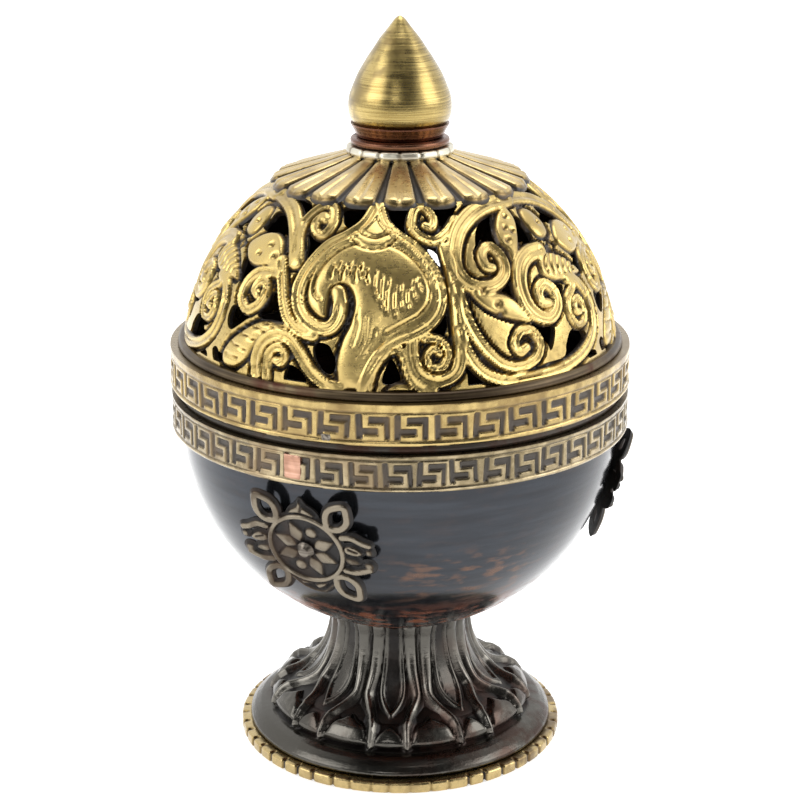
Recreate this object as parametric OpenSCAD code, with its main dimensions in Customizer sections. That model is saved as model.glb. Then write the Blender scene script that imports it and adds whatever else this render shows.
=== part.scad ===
// Footed incense burner: a spun bowl on a fluted foot, with a pierced domed lid and a bud finial.
// The origin is the centre of the foot's underside. +Z is up and the front faces -Y.
// Azimuths are counted from the front, positive towards +X.

/* [Bowl] */
// Outer radius of the spun bowl
bowl_r = 35.9; // [35:0.1:37]
// Height of the bowl's centre of curvature
bowl_centre_z = 56.3; // [56:0.1:57]
// Wall of the bowl
bowl_wall = 1.2; // [1:0.1:1.3]
// Height at which the bowl stands on the foot
foot_top_z = 22.5; // [22.3:0.1:22.7]

/* [Bands] */
// Outer radius of the two engraved bands
band_r = 37.5; // [37.3:0.1:38.5]
// Lower edge of the bowl's band
bowl_band_z = 55.6; // [55.2:0.1:55.8]
// Height of the bowl's band
bowl_band_h = 5.6; // [5:0.1:6]
// Lower edge of the lid's band
lid_band_z = 62.8; // [62.7:0.1:63]
// Height of the lid's band
lid_band_h = 6.4; // [6:0.1:6.8]
// Key pattern repeats on the bowl's band
bowl_key_count = 46; // [30:1:50]
// Key pattern repeats on the lid's band
lid_key_count = 40; // [30:1:46]
// Depth of the key pattern
key_depth = 0.4; // [0.2:0.1:0.6]

/* [Lid] */
// Outer radius of the pierced dome
dome_r = 35.5; // [35.3:0.1:35.6]
// Wall of the pierced dome
dome_wall = 1.2; // [1:0.1:1.3]
// Petals on the cap at the top of the dome
cap_petals = 20; // [16:1:30]

/* [Foot] */
// Outer radius of the notched base ring
base_r = 27.4; // [27:0.1:28]
// Height of the notched base ring
base_h = 1.9; // [1.7:0.1:2.1]
// Notches in the base ring
base_notches = 52; // [30:1:60]
// Lotus petals round the foot
foot_petals = 9; // [6:1:10]

/* [Plaques] */
// Azimuth of the first plaque
plaque_azimuth = -24; // [-40:1:20]
// Tilt of the plaques below the horizontal
plaque_tilt = 18.5; // [17:0.5:20]
// Radius of the wheel on each plaque
wheel_r = 6.6; // [6:0.1:7]
// Thickness of the plaque's plate
plaque_plate = 1.2; // [1:0.1:1.4]

/* [Finial] */
// Radius of the threaded stud that holds the finial
stud_r = 2; // [1.8:0.1:2.2]
// Height of the finial's tip
tip_z = 121.2; // [120.5:0.1:122]

/* [Hidden] */
$fn = 96;

// Clearance round studs and rivets, and the overlap of outlines that are joined
slack = 0.05;
hole_r = stud_r + slack;
bowl_inner_r = bowl_r - bowl_wall;
bowl_floor_z = foot_top_z + bowl_wall;
bowl_rim_z = bowl_band_z + bowl_band_h;
shoulder_h = lid_band_z - bowl_rim_z - 0.2;
sleeve_r = bowl_inner_r;
sleeve_wall = 0.8;
sleeve_foot_z = bowl_centre_z + 0.2;
sleeve_top_z = lid_band_z + 3.4;
shoulder_r = 36.4;
lid_inner_r = sleeve_r + 0.4;
seat_z = lid_band_z + lid_band_h;
seat_h = 1.3;
seat_r = 36.3;
dome_foot_z = seat_z + seat_h;
dome_centre_z = dome_foot_z - 4.6;
dome_mouth_r = 19.7;
cap_top_z = 99.5;
cap_under_z = 98.3;
collar_h = 1.5;
ring_h = 1.3;
cup_h = 2.2;
ring_z = cap_top_z + collar_h;
cup_z = ring_z + ring_h;
bud_z = cup_z + cup_h;
stud_foot_z = 93.9;
stud_head_z = 111.5;
washer_h = 0.8;
nut_h = 2.4;
foot_plate_z = foot_top_z - 1.6;
bolt_end_z = 16.5;
flute_centre = [19.6, 21];
flute_size = [8, 12];
flute_wall = 1.45;
panel_foot_z = 5.4;
panel_top_z = 8.8;
plaque_back = bowl_r + 0.25;
rivet_r = 0.8;
pan_r = 32.5;
pan_wall = 0.9;
pan_floor_z = 26.2;
pan_rim_z = 49;
brass = "#b59a5a";
pale_brass = "#cbb98a";
copper = "#a5694f";
dark_copper = "#3b3634";
gunmetal = "#5a5650";
silver = "#b9b4a4";

// A point of the foot's hollow flute, offset outwards, at an angle of its quarter ellipse
function flute_point(a, out) = [flute_centre[0] - (flute_size[0] - out) * cos(a),
                                flute_centre[1] - (flute_size[1] - out) * sin(a)];

// Turns +X to an azimuth counted from the front
module at_azimuth(a) {
    rotate([0, 0, a - 90])
        children();
}

// A revolved arc centred on an azimuth
module arc_at(a, width) {
    rotate([0, 0, a - 90 - width / 2])
        rotate_extrude(angle = width)
            children();
}

// A flat ring
module ring(r_out, r_in, z, h) {
    translate([0, 0, z])
        difference() {
            cylinder(r = r_out, h = h);
            translate([0, 0, -1])
                cylinder(r = r_in, h = h + 2);
        }
}

// The half outline of a thin ball shell between two heights
module shell_outline(r, wall, centre_z, low_z, high_z) {
    intersection() {
        difference() {
            translate([0, centre_z])
                circle(r = r);
            translate([0, centre_z])
                circle(r = r - wall);
        }
        translate([0, low_z])
            square([r + 1, high_z - low_z]);
    }
}

// Extrudes a flat shape outwards along +X, with its x along Y and its y along Z
module outwards(h) {
    rotate([90, 0, 90])
        linear_extrude(h)
            children();
}

// The outline of one of the key pattern's two hooked recesses, in a unit square
function key_hook(hook) = hook == 0
    ? [[0.14, 0.86], [0.86, 0.86], [0.86, 0.36], [0.70, 0.36], [0.70, 0.68], [0.14, 0.68]]
    : [[0.14, 0.14], [0.86, 0.14], [0.86, 0.28], [0.30, 0.28], [0.30, 0.52], [0.14, 0.52]];

// The key pattern's recesses round a band
module key_cuts(count, low_z, h) {
    cell = 2 * PI * band_r / count;
    for (i = [0:count - 1])
        at_azimuth(i * 360 / count)
            translate([band_r - key_depth, -cell / 2, low_z])
                outwards(2)
                    for (hook = [0, 1])
                        polygon([for (p = key_hook(hook)) [p[0] * cell, p[1] * h]]);
}

module base_ring() {
    color(brass)
    difference() {
        rotate_extrude()
            polygon([[24, 0], [base_r - 0.5, 0], [base_r, 0.6], [base_r, base_h - 0.5],
                     [base_r - 0.4, base_h], [24, base_h]]);
        for (i = [0:base_notches - 1])
            at_azimuth(i * 360 / base_notches)
                translate([base_r + 0.1, 0, -1])
                    cylinder(r = 0.45, h = base_h + 2, $fn = 16);
    }
}

// A raised band along the flute of the foot
module foot_rib(a, width, low_angle, rise) {
    arc_at(a, width)
        polygon(concat([for (i = [0:8]) flute_point(low_angle + (5 - low_angle) * i / 8, rise)],
                       [for (i = [0:8]) flute_point(5 + (low_angle - 5) * i / 8, -0.4)]));
}

module pedestal() {
    color(gunmetal) {
        rotate_extrude()
            polygon(concat([[25.9, base_h], [25.6, 2.9], [24.8, 3.7], [23.6, 4.4], [22.6, 4.6], [22.3, 5],
                            [22.3, panel_foot_z], [22, 6.4], [21, 7.8], [19.6, 8.8]],
                           [for (i = [0:12]) flute_point(78 - 75 * i / 12, 0)],
                           [[12, foot_top_z], [hole_r, foot_top_z], [hole_r, foot_plate_z],
                            [10.1, foot_plate_z]],
                           [for (i = [0:12]) flute_point(4 + 74 * i / 12, -flute_wall)],
                           [[19.2, 7.2], [20.4, 6.2], [20.9, 5.2], [21.3, 4.4], [22.9, 3.3],
                            [24.2, base_h]]));
        for (i = [0:foot_petals - 1]) {
            a = -5 + i * 360 / foot_petals;
            for (side = [-1, 1]) {
                foot_rib(a + side * 14.5, 4, 76, 0.7);
                foot_rib(a + side * 5.5, 2.4, 68, 0.4);
                arc_at(a + side * 7.2, 2.4)
                    polygon([[21.6, panel_foot_z], [22.9, panel_foot_z], [22.6, 6.5], [21.6, 8],
                             [20, 9.1], [19.2, 8.2]]);
            }
            arc_at(a + 180 / foot_petals, 19)
                polygon([[21.6, 5.7], [22.7, 5.7], [22.4, 6.6], [21.4, 7.9], [20.6, 8.5], [20, 8]]);
        }
    }
}

// Turns +X to a direction below the horizontal, from the bowl's centre of curvature
module on_bowl(a, tilt) {
    translate([0, 0, bowl_centre_z])
        at_azimuth(a)
            rotate([0, tilt, 0])
                children();
}

module bowl() {
    color(dark_copper)
    difference() {
        rotate_extrude() {
            shell_outline(bowl_r, bowl_wall, bowl_centre_z, bowl_floor_z - slack, bowl_centre_z);
            intersection() {
                translate([0, bowl_centre_z])
                    circle(r = bowl_r);
                translate([0, foot_top_z])
                    square([bowl_r, bowl_wall]);
            }
            translate([bowl_inner_r, bowl_centre_z])
                square([bowl_wall, bowl_rim_z - bowl_centre_z]);
        }
        translate([0, 0, foot_top_z - 1])
            cylinder(r = hole_r, h = 4);
        for (i = [0:2])
            on_bowl(plaque_azimuth + 120 * i, plaque_tilt)
                translate([bowl_inner_r - 2, 0, 0])
                    rotate([0, 90, 0])
                        cylinder(r = rivet_r + slack, h = 5);
    }
}

module bowl_band() {
    color(pale_brass)
    difference() {
        rotate_extrude()
            polygon([[bowl_r, bowl_band_z], [band_r - 0.3, bowl_band_z], [band_r, bowl_band_z + 0.25],
                     [band_r, bowl_rim_z - 0.3], [band_r - 0.3, bowl_rim_z], [bowl_r, bowl_rim_z]]);
        key_cuts(bowl_key_count, bowl_band_z + 0.7, bowl_band_h - 1.4);
    }
}

// A lump of solder closing a band's butt joint
module solder_joint(a, width, low_z, h) {
    arc_at(a, width)
        polygon([[band_r, low_z], [band_r + 0.2, low_z + 0.3], [band_r + 0.2, low_z + h - 0.3],
                 [band_r, low_z + h]]);
}

module bowl_band_joint() {
    color(copper)
        solder_joint(-25.5, 4.6, bowl_band_z + 0.8, bowl_band_h - 1.6);
}

module rim_sleeve() {
    color(dark_copper)
    rotate_extrude() {
        translate([sleeve_r - sleeve_wall, sleeve_foot_z])
            square([sleeve_wall, sleeve_top_z - sleeve_foot_z]);
        polygon([[sleeve_r - 0.1, bowl_rim_z], [shoulder_r, bowl_rim_z], [shoulder_r + 0.2, bowl_rim_z + 0.5],
                 [shoulder_r, bowl_rim_z + shoulder_h], [sleeve_r - 0.1, bowl_rim_z + shoulder_h]]);
    }
}

module foot_bolt() {
    color(copper) {
        translate([0, 0, bolt_end_z])
            cylinder(r = stud_r, h = bowl_floor_z + 0.5 - bolt_end_z);
        rotate_extrude()
            polygon([[0, bowl_floor_z], [4.2, bowl_floor_z], [3.9, bowl_floor_z + 0.8],
                     [2.6, bowl_floor_z + 1.5], [0, bowl_floor_z + 1.8]]);
    }
}

module foot_washer() {
    color(silver)
        ring(6, hole_r, foot_plate_z - washer_h, washer_h);
}

// A hexagonal nut on the stud's radius, as if threaded
module nut(low_z) {
    translate([0, 0, low_z])
        difference() {
            cylinder(r = 4.2, h = nut_h, $fn = 6);
            translate([0, 0, -1])
                cylinder(r = hole_r, h = nut_h + 2);
        }
}

module foot_nut() {
    color(silver)
        nut(foot_plate_z - washer_h - nut_h);
}

// The plaque's flat outline: a disc, four corner drops and a spray at each end
module plaque_outline() {
    circle(r = wheel_r);
    for (sx = [-1, 1], sy = [-1, 1])
        mirrored(sx, sy) {
            translate([5.8, 6.6])
                circle(r = 2.6);
            polygon([[5.8, 9.2], [8.2, 9.6], [8.4, 6.4], [4.4, 4.4]]);
            translate([9.9, 1.5])
                circle(r = 1.3);
        }
    for (s = [-1, 1]) {
        translate([s * 8, 0])
            circle(r = 2.3);
        translate([s * 11, 0])
            circle(r = 1);
        translate([0, s * 7.6])
            circle(r = 1.9);
    }
}

// Mirrors a flat shape in both directions as asked
module mirrored(sx, sy) {
    mirror([sx < 0 ? 1 : 0, 0])
        mirror([0, sy < 0 ? 1 : 0])
            children();
}

module plaque_plate_shape() {
    difference() {
        plaque_outline();
        for (sx = [-1, 1], sy = [-1, 1])
            translate([sx * 5.9, sy * 6.8])
                circle(r = 1.3);
        circle(r = rivet_r + slack);
    }
}

// The wheel's rim and its eight petals
module wheel_relief() {
    difference() {
        circle(r = wheel_r - 0.2);
        circle(r = wheel_r - 1);
    }
    for (i = [0:7])
        rotate(i * 45)
            polygon([[2, 0], [3.2, 0.75], [4.3, 0.6], [5.2, 0], [4.3, -0.6], [3.2, -0.75]]);
}

module wheel_plaque(i) {
    color(silver)
        on_bowl(plaque_azimuth + 120 * i, plaque_tilt)
            translate([plaque_back, 0, 0]) {
                outwards(plaque_plate)
                    plaque_plate_shape();
                translate([plaque_plate - 0.1, 0, 0])
                    outwards(0.6)
                        wheel_relief();
            }
}

module plaque_rivets() {
    color(silver)
    for (i = [0:2])
        on_bowl(plaque_azimuth + 120 * i, plaque_tilt)
            rotate([0, 90, 0]) {
                translate([0, 0, bowl_inner_r - 0.8])
                    cylinder(r = rivet_r, h = plaque_back + plaque_plate - bowl_inner_r + 1);
                translate([0, 0, bowl_inner_r - 0.8])
                    cylinder(r = 1.6, h = 0.7);
                translate([0, 0, plaque_back + plaque_plate])
                    cylinder(r1 = 1.4, r2 = 0.8, h = 0.8);
            }
}

module ash_pan() {
    color(copper)
    rotate_extrude() {
        shell_outline(pan_r, pan_wall, bowl_centre_z, pan_floor_z + pan_wall - slack, pan_rim_z);
        intersection() {
            translate([0, bowl_centre_z])
                circle(r = pan_r);
            translate([0, pan_floor_z])
                square([pan_r, pan_wall]);
        }
        translate([9.6, bowl_floor_z + 0.2])
            square([0.9, pan_floor_z - bowl_floor_z]);
        translate([31.4, pan_rim_z])
            circle(r = 0.8);
    }
}

module lid_band() {
    color(brass)
    difference() {
        rotate_extrude()
            polygon([[lid_inner_r, lid_band_z], [band_r - 0.3, lid_band_z], [band_r, lid_band_z + 0.25],
                     [band_r, seat_z - 0.3], [band_r - 0.3, seat_z], [lid_inner_r, seat_z]]);
        key_cuts(lid_key_count, lid_band_z + 0.8, lid_band_h - 2.4);
    }
}

module lid_band_joint() {
    color(silver)
        solder_joint(-17, 2.4, lid_band_z + 0.3, 1.2);
}

module seat_ring() {
    color(gunmetal)
    rotate_extrude()
        polygon([[33.9, seat_z], [seat_r, seat_z], [seat_r, seat_z + 0.6], [seat_r - 0.5, dome_foot_z],
                 [33.9, dome_foot_z]]);
}

// Where the scrollwork is pierced in each third of the dome: azimuth, height and radius
piercings = [[-45, 94, 1.1], [-18, 94.2, 1.1], [-3, 94.2, 1.1], [20, 94.2, 1.1], [33, 91, 1.3],
             [46, 91, 1.4], [66, 92, 1.3], [30, 87.5, 1.4], [-29, 89.5, 1.4], [-22, 86, 1.3],
             [15, 88.5, 1.2], [52, 82, 1.5], [-37, 81, 1.9], [66, 85, 1.6], [14, 81, 1.3],
             [40, 77.5, 1.7], [52, 74.5, 1.5], [-20, 75, 1.5], [-2, 73.4, 1.4], [17, 74, 1.4],
             [28, 74.8, 1.2], [64, 73.5, 1.6], [-31, 73, 1.2], [58, 78.5, 1.3]];

module lid_dome() {
    color(brass)
    difference() {
        rotate_extrude()
            shell_outline(dome_r, dome_wall, dome_centre_z, dome_foot_z, 99);
        translate([0, 0, 80])
            cylinder(r = dome_mouth_r, h = 30);
        for (third = [0:2], p = piercings)
            translate([0, 0, dome_centre_z])
                at_azimuth(p[0] + 120 * third)
                    rotate([0, -asin((p[1] - dome_centre_z) / dome_r), 0])
                        translate([dome_r - 3, 0, 0])
                            rotate([0, 90, 0])
                                cylinder(r = p[2], h = 6);
    }
}

module petal_cap() {
    color(brass)
    difference() {
        rotate_extrude()
            polygon([[20.9, 94.72], [20.95, 95.15], [19.8, 95.95], [15.1, 97.3], [11.7, 98.35], [9.2, 99.2],
                     [8.5, cap_top_z], [hole_r, cap_top_z], [hole_r, cap_under_z], [8.6, cap_under_z],
                     [11.4, 97.1], [15, 96.05], [19.4, 94.7], [19.6, 95.55]]);
        for (i = [0:cap_petals - 1])
            at_azimuth((i + 0.5) * 360 / cap_petals) {
                translate([21.3, 0, 90])
                    cylinder(r = 0.8, h = 10);
                translate([9, 0, 99.75])
                    rotate([0, 107.5, 0])
                        cylinder(r = 0.55, h = 14);
            }
    }
}

module finial_collar() {
    color(silver)
    difference() {
        ring(8.6, hole_r, cap_top_z, collar_h);
        for (i = [0:cap_petals - 1])
            at_azimuth(i * 360 / cap_petals)
                translate([8.8, 0, cap_top_z - 1])
                    cylinder(r = 0.5, h = collar_h + 2, $fn = 16);
    }
}

module finial_ring() {
    color(copper)
    rotate_extrude() {
        translate([hole_r, ring_z])
            square([7.3 - hole_r, ring_h]);
        translate([7.3, ring_z + ring_h / 2])
            circle(r = ring_h / 2);
    }
}

module finial_cup() {
    color(copper)
    rotate_extrude()
        polygon([[hole_r, cup_z], [6.6, cup_z], [7.1, cup_z + 0.5], [7.3, cup_z + 1.2], [7.9, bud_z],
                 [hole_r, bud_z]]);
}

module finial_bud() {
    color(brass)
    rotate_extrude()
        polygon([[hole_r, bud_z], [7.4, bud_z], [8, bud_z + 1], [8.25, bud_z + 2.6], [8.05, bud_z + 4.2],
                 [7.5, bud_z + 5.8], [6.8, bud_z + 7.5], [5.7, bud_z + 9.4], [4.4, bud_z + 11.4],
                 [2.9, bud_z + 13.5], [1.35, tip_z - 1.1], [0.5, tip_z - 0.2], [0, tip_z],
                 [0, stud_head_z + 0.3], [hole_r, stud_head_z + 0.3]]);
}

module finial_stud() {
    color(silver)
        translate([0, 0, stud_foot_z])
            cylinder(r = stud_r, h = stud_head_z - stud_foot_z);
}

module finial_washer() {
    color(silver)
        ring(6, hole_r, cap_under_z - washer_h, washer_h);
}

module finial_nut() {
    color(silver)
        nut(cap_under_z - washer_h - nut_h);
}

base_ring();
pedestal();
bowl();
bowl_band();
bowl_band_joint();
rim_sleeve();
foot_bolt();
foot_washer();
foot_nut();
wheel_plaque(0);  // wheel_plaque_1
wheel_plaque(1);  // wheel_plaque_2
wheel_plaque(2);  // wheel_plaque_3
plaque_rivets();
ash_pan();
lid_band();
lid_band_joint();
seat_ring();
lid_dome();
petal_cap();
finial_collar();
finial_ring();
finial_cup();
finial_bud();
finial_stud();
finial_washer();
finial_nut();
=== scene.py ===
"""The looks of a footed incense burner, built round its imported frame.

Every piece is metalwork: cast, spun, chased or stamped. Sizes inside the classes are in millimetres,
azimuths are in degrees from the front (-Y) towards +X, and meshes are written in metres.
"""

import logging
import math
from collections.abc import Callable, Iterator, Sequence
from dataclasses import dataclass, field
from enum import Enum

import bpy
import numpy as np
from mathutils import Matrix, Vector


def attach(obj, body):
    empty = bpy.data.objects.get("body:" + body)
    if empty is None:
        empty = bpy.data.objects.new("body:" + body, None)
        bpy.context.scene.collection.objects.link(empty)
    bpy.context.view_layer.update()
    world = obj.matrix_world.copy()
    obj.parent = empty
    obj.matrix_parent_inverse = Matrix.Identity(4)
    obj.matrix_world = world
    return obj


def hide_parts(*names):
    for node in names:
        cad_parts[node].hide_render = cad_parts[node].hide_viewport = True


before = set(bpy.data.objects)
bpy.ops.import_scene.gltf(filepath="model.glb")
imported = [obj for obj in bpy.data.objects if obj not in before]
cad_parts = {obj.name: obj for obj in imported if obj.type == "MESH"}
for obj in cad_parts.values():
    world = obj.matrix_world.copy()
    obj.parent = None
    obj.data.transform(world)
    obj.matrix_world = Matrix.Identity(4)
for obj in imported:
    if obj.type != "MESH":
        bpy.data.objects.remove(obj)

MM = 0.001
LOG = logging.getLogger("burner")
Point = tuple[float, float]
Colour = tuple[float, float, float]
Place = tuple[float, float, float]

# Sizes that the pieces share with the frame's solids
BAND_RADIUS = 37.5
BOWL_RADIUS = 35.9
BOWL_CENTRE = 56.3
BOWL_RIM = 61.0
FOOT_TOP = 22.5
BASE_TOP = 1.9
STUD_HOLE = 2.1
SEAT_LOW, SEAT_HIGH = 69.2, 70.5
CAP_TOP, RING_LOW, CUP_LOW, BUD_LOW = 99.5, 101.0, 102.3, 104.5
# The plaques, and the azimuth of the first
PLAQUES = 3
FIRST_PLAQUE = -24
# A radius just off the axis, where a turned piece ends
AXIS = 0.01
# The relief value of cut walls, and how rough the clear coat is
WALL_TONE = 0.12
COAT_ROUGHNESS = 0.3


# === Lines and charts ===


def smooth_line(points: Sequence[Point], closed: bool = False, steps: int = 7) -> np.ndarray:
    """Runs a smooth curve through given points.

    Args:
        points: The points that the curve passes through.
        closed: Whether the curve joins up with its start.
        steps: How many samples each span gets.

    Returns:
        The samples, one row each.
    """
    knots = np.array(points, float)
    if closed:
        knots = np.vstack([knots[-1], knots, knots[:2]])
    else:
        knots = np.vstack([2 * knots[0] - knots[1], knots, 2 * knots[-1] - knots[-2]])
    share = np.linspace(0, 1, steps, endpoint=False)[:, None]
    spans = []
    for before, start, end, after in zip(knots, knots[1:], knots[2:], knots[3:]):
        spans.append(
            0.5
            * (
                2 * start
                + (end - before) * share
                + (2 * before - 5 * start + 4 * end - after) * share**2
                + (3 * start - before - 3 * end + after) * share**3
            )
        )
    line = np.vstack(spans)
    return line if closed else np.vstack([line, knots[-2]])


def smooth_step(low: float, high: float, value: np.ndarray) -> np.ndarray:
    """Rises smoothly from 0 at low to 1 at high."""
    share = np.clip((value - low) / (high - low), 0, 1)
    return share * share * (3 - 2 * share)


def dip(gap: np.ndarray, width: float | np.ndarray) -> np.ndarray:
    """Falls softly from 1 at no distance to nearly 0 at twice the width."""
    return np.exp(-((gap / width) ** 2))


def nearest_on_path(spots: np.ndarray, path: np.ndarray) -> tuple[np.ndarray, np.ndarray]:
    """Measures how far points lie from a path.

    Args:
        spots: Points in space, one row each.
        path: The path's points, one row each.

    Returns:
        Each point's distance, and how far along the path its nearest place is, from 0 to 1.
    """
    lengths = np.linalg.norm(np.diff(path, axis=0), axis=1)
    run = np.concatenate([[0], np.cumsum(lengths)])
    best = np.full(len(spots), np.inf)
    along = np.zeros(len(spots))
    for start, end, length, before in zip(path, path[1:], lengths, run):
        if length == 0:
            continue
        way = (end - start) / length
        reach = np.clip((spots - start) @ way, 0, length)
        gap = ((spots - start - reach[:, None] * way) ** 2).sum(1)
        closer = gap < best
        best[closer] = gap[closer]
        along[closer] = (before + reach[closer]) / run[-1]
    return np.sqrt(best), along


def inside_outline(flat: np.ndarray, outline: np.ndarray) -> np.ndarray:
    """Says which chart points lie inside a closed outline.

    Args:
        flat: The chart points, one row each.
        outline: The outline's points, one row each.

    Returns:
        Whether each point is inside.
    """
    within = np.zeros(len(flat), bool)
    for (x1, y1), (x2, y2) in zip(outline, np.roll(outline, -1, axis=0)):
        if y1 == y2:
            continue
        crosses = (flat[:, 1] < y1) != (flat[:, 1] < y2)
        within ^= crosses & (flat[:, 0] < (x2 - x1) * (flat[:, 1] - y1) / (y2 - y1) + x1)
    return within


def round_axis(out: np.ndarray, azimuth: np.ndarray, up: np.ndarray) -> np.ndarray:
    """Places radii and heights round +Z.

    Args:
        out: The radii.
        azimuth: The azimuths in radians.
        up: The heights.

    Returns:
        The points, with their parts along the last axis.
    """
    return np.stack([out * np.sin(azimuth), -out * np.cos(azimuth), up], -1)


@dataclass(frozen=True)
class BallChart:
    """Azimuth and height on a ball."""

    radius: float
    centre: float

    def place(self, flat: np.ndarray) -> np.ndarray:
        """Places chart points in space.

        Args:
            flat: Rows of azimuth and height.

        Returns:
            The points in space, one row each.
        """
        azimuth = np.radians(flat[:, 0])
        up = np.clip((flat[:, 1] - self.centre) / self.radius, -1, 1)
        out = np.sqrt(1 - up**2) * self.radius
        return round_axis(out, azimuth, up * self.radius + self.centre)


@dataclass(frozen=True)
class TurnedChart:
    """Azimuth and height on a turned outline whose height only rises."""

    outline: np.ndarray

    def place(self, flat: np.ndarray) -> np.ndarray:
        """Places chart points in space.

        Args:
            flat: Rows of azimuth and height.

        Returns:
            The points in space, one row each.
        """
        azimuth = np.radians(flat[:, 0])
        out = np.interp(flat[:, 1], self.outline[:, 1], self.outline[:, 0])
        return round_axis(out, azimuth, flat[:, 1])


@dataclass(frozen=True)
class FlatChart:
    """Plain millimetres on a flat plate."""

    def place(self, flat: np.ndarray) -> np.ndarray:
        """Returns the points in space of rows of x and y."""
        return np.column_stack([flat, np.zeros(len(flat))])


Chart = BallChart | TurnedChart | FlatChart


# === Relief work ===


@dataclass(frozen=True)
class Ribbon:
    """A raised strand that follows a smooth path, with a chased line along it."""

    path: Sequence[Point]
    half_width: float = 0.75
    rise: float = 1.0
    groove: float = 0.35
    end: float = 1.0
    closed: bool = False
    ramp: float = 0.34

    def shape(self, chart: Chart, spots: np.ndarray, flat: np.ndarray) -> tuple[np.ndarray, np.ndarray]:
        """Works out the strand at points of the chart.

        Args:
            chart: The chart that the path is drawn on.
            spots: The points in space.
            flat: The same points in the chart; not used.

        Returns:
            The height there, and the distance outside the strand's edge.
        """
        gap, along = nearest_on_path(spots, chart.place(smooth_line(self.path, self.closed)))
        half = self.half_width * (1 + (self.end - 1) * along)
        across = np.clip(gap / half, 0, 1.5)
        body = smooth_step(-self.ramp, self.ramp, half - gap) * (1 - 0.2 * across**2)
        line = self.groove * dip(gap, 0.38 * half) * smooth_step(0.02, 0.12, 1 - along)
        return self.rise * (body - line), gap - half


@dataclass(frozen=True)
class Leaf:
    """A raised, softly crowned shape inside a smooth, closed path."""

    path: Sequence[Point]
    rise: float = 1.0
    soft: float = 0.5
    crown: float = 0.25

    def shape(self, chart: Chart, spots: np.ndarray, flat: np.ndarray) -> tuple[np.ndarray, np.ndarray]:
        """Works out the leaf at points of the chart.

        Args:
            chart: The chart that the path is drawn on.
            spots: The points in space.
            flat: The same points in the chart.

        Returns:
            The height there, and the distance outside the leaf's edge.
        """
        edge = smooth_line(self.path, closed=True)
        edge = np.vstack([edge, edge[:1]])
        gap, _ = nearest_on_path(spots, chart.place(edge))
        signed = np.where(inside_outline(flat, edge[:-1]), -gap, gap)
        body = smooth_step(-self.soft * 0.5, self.soft, -signed) * (1 - self.crown)
        return self.rise * (body + self.crown * (1 - np.exp(np.minimum(signed, 0) / 1.2))), signed


@dataclass(frozen=True)
class Chase:
    """A line cut or punched into the relief with a tracer."""

    path: Sequence[Point]
    half_width: float = 0.22
    depth: float = 0.25


@dataclass(frozen=True)
class Ornament:
    """Everything that is raised or chased on one repeat of a surface.

    The features are drawn on a chart, and repeat round the axis after every turn of so many degrees.
    """

    chart: Chart
    features: Sequence[Ribbon | Leaf]
    chases: Sequence[Chase] = ()
    turn: float = 120.0
    margin: float = 2.0
    holes: Sequence[Sequence[Point]] = ()
    infill: float = 0.0
    near_turn: float = 15.0
    most_turns: int = 10

    def _shifts(self, flat: np.ndarray, path: np.ndarray) -> list[float]:
        """Lists the turns that bring a path over the points, or near them.

        Args:
            flat: Points of the chart, one row each.
            path: The path's points.

        Returns:
            The turns in degrees.
        """
        if self.turn <= 0:
            return [0.0]
        low, high = flat[:, 0].min() - self.near_turn, flat[:, 0].max() + self.near_turn
        shifts = [self.turn * k for k in range(-self.most_turns, self.most_turns + 1)]
        return [s for s in shifts if path[:, 0].max() + s > low and path[:, 0].min() + s < high]

    def _repeats(self, flat: np.ndarray, path: Sequence[Point]) -> Iterator[tuple[np.ndarray, np.ndarray]]:
        """Finds each repeat of a path that comes near the points.

        Args:
            flat: Points of the chart, one row each.
            path: The path, as it is drawn on the chart.

        Yields:
            Which points are near, and where they lie as seen from the path's own repeat.
        """
        outline = np.array(path)
        for shift in self._shifts(flat, outline):
            moved = flat - [shift, 0]
            near = self._near(moved, outline)
            if near.any():
                yield near, moved[near]

    def field(self, flat: np.ndarray) -> tuple[np.ndarray, np.ndarray, np.ndarray]:
        """Works out the whole relief.

        Args:
            flat: Points of the chart, one row each.

        Returns:
            The relief's height, the distance outside the nearest feature's edge, and the distance outside
            the nearest hole's edge.
        """
        height = np.zeros(len(flat))
        clear = np.full(len(flat), self.margin)
        solid = np.full(len(flat), self.margin)
        for feature in self.features:
            for near, moved in self._repeats(flat, feature.path):
                raised, gap = feature.shape(self.chart, self.chart.place(moved), moved)
                height[near] = np.maximum(height[near], raised)
                clear[near] = np.minimum(clear[near], gap)
        for hole in self.holes:
            for near, moved in self._repeats(flat, hole):
                _, gap = Leaf(hole).shape(self.chart, self.chart.place(moved), moved)
                solid[near] = np.minimum(solid[near], gap)
        if self.infill:
            height = np.maximum(height, self.infill * smooth_step(0.2, 0.55, clear))
        for chase in self.chases:
            line = self.chart.place(smooth_line(chase.path))
            for near, moved in self._repeats(flat, chase.path):
                gap, _ = nearest_on_path(self.chart.place(moved), line)
                height[near] -= chase.depth * dip(gap, chase.half_width)
        return height, clear, solid

    def _near(self, flat: np.ndarray, outline: np.ndarray) -> np.ndarray:
        """Says which points are close enough to an outline to matter.

        Args:
            flat: Points of the chart, one row each.
            outline: The path's points.

        Returns:
            Whether each point is near.
        """
        spots = self.chart.place(flat)
        path = self.chart.place(smooth_line(outline.tolist(), steps=3))
        low, high = path.min(0) - self.margin, path.max(0) + self.margin
        return ((spots > low) & (spots < high)).all(1)


# === Meshes ===


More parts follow.
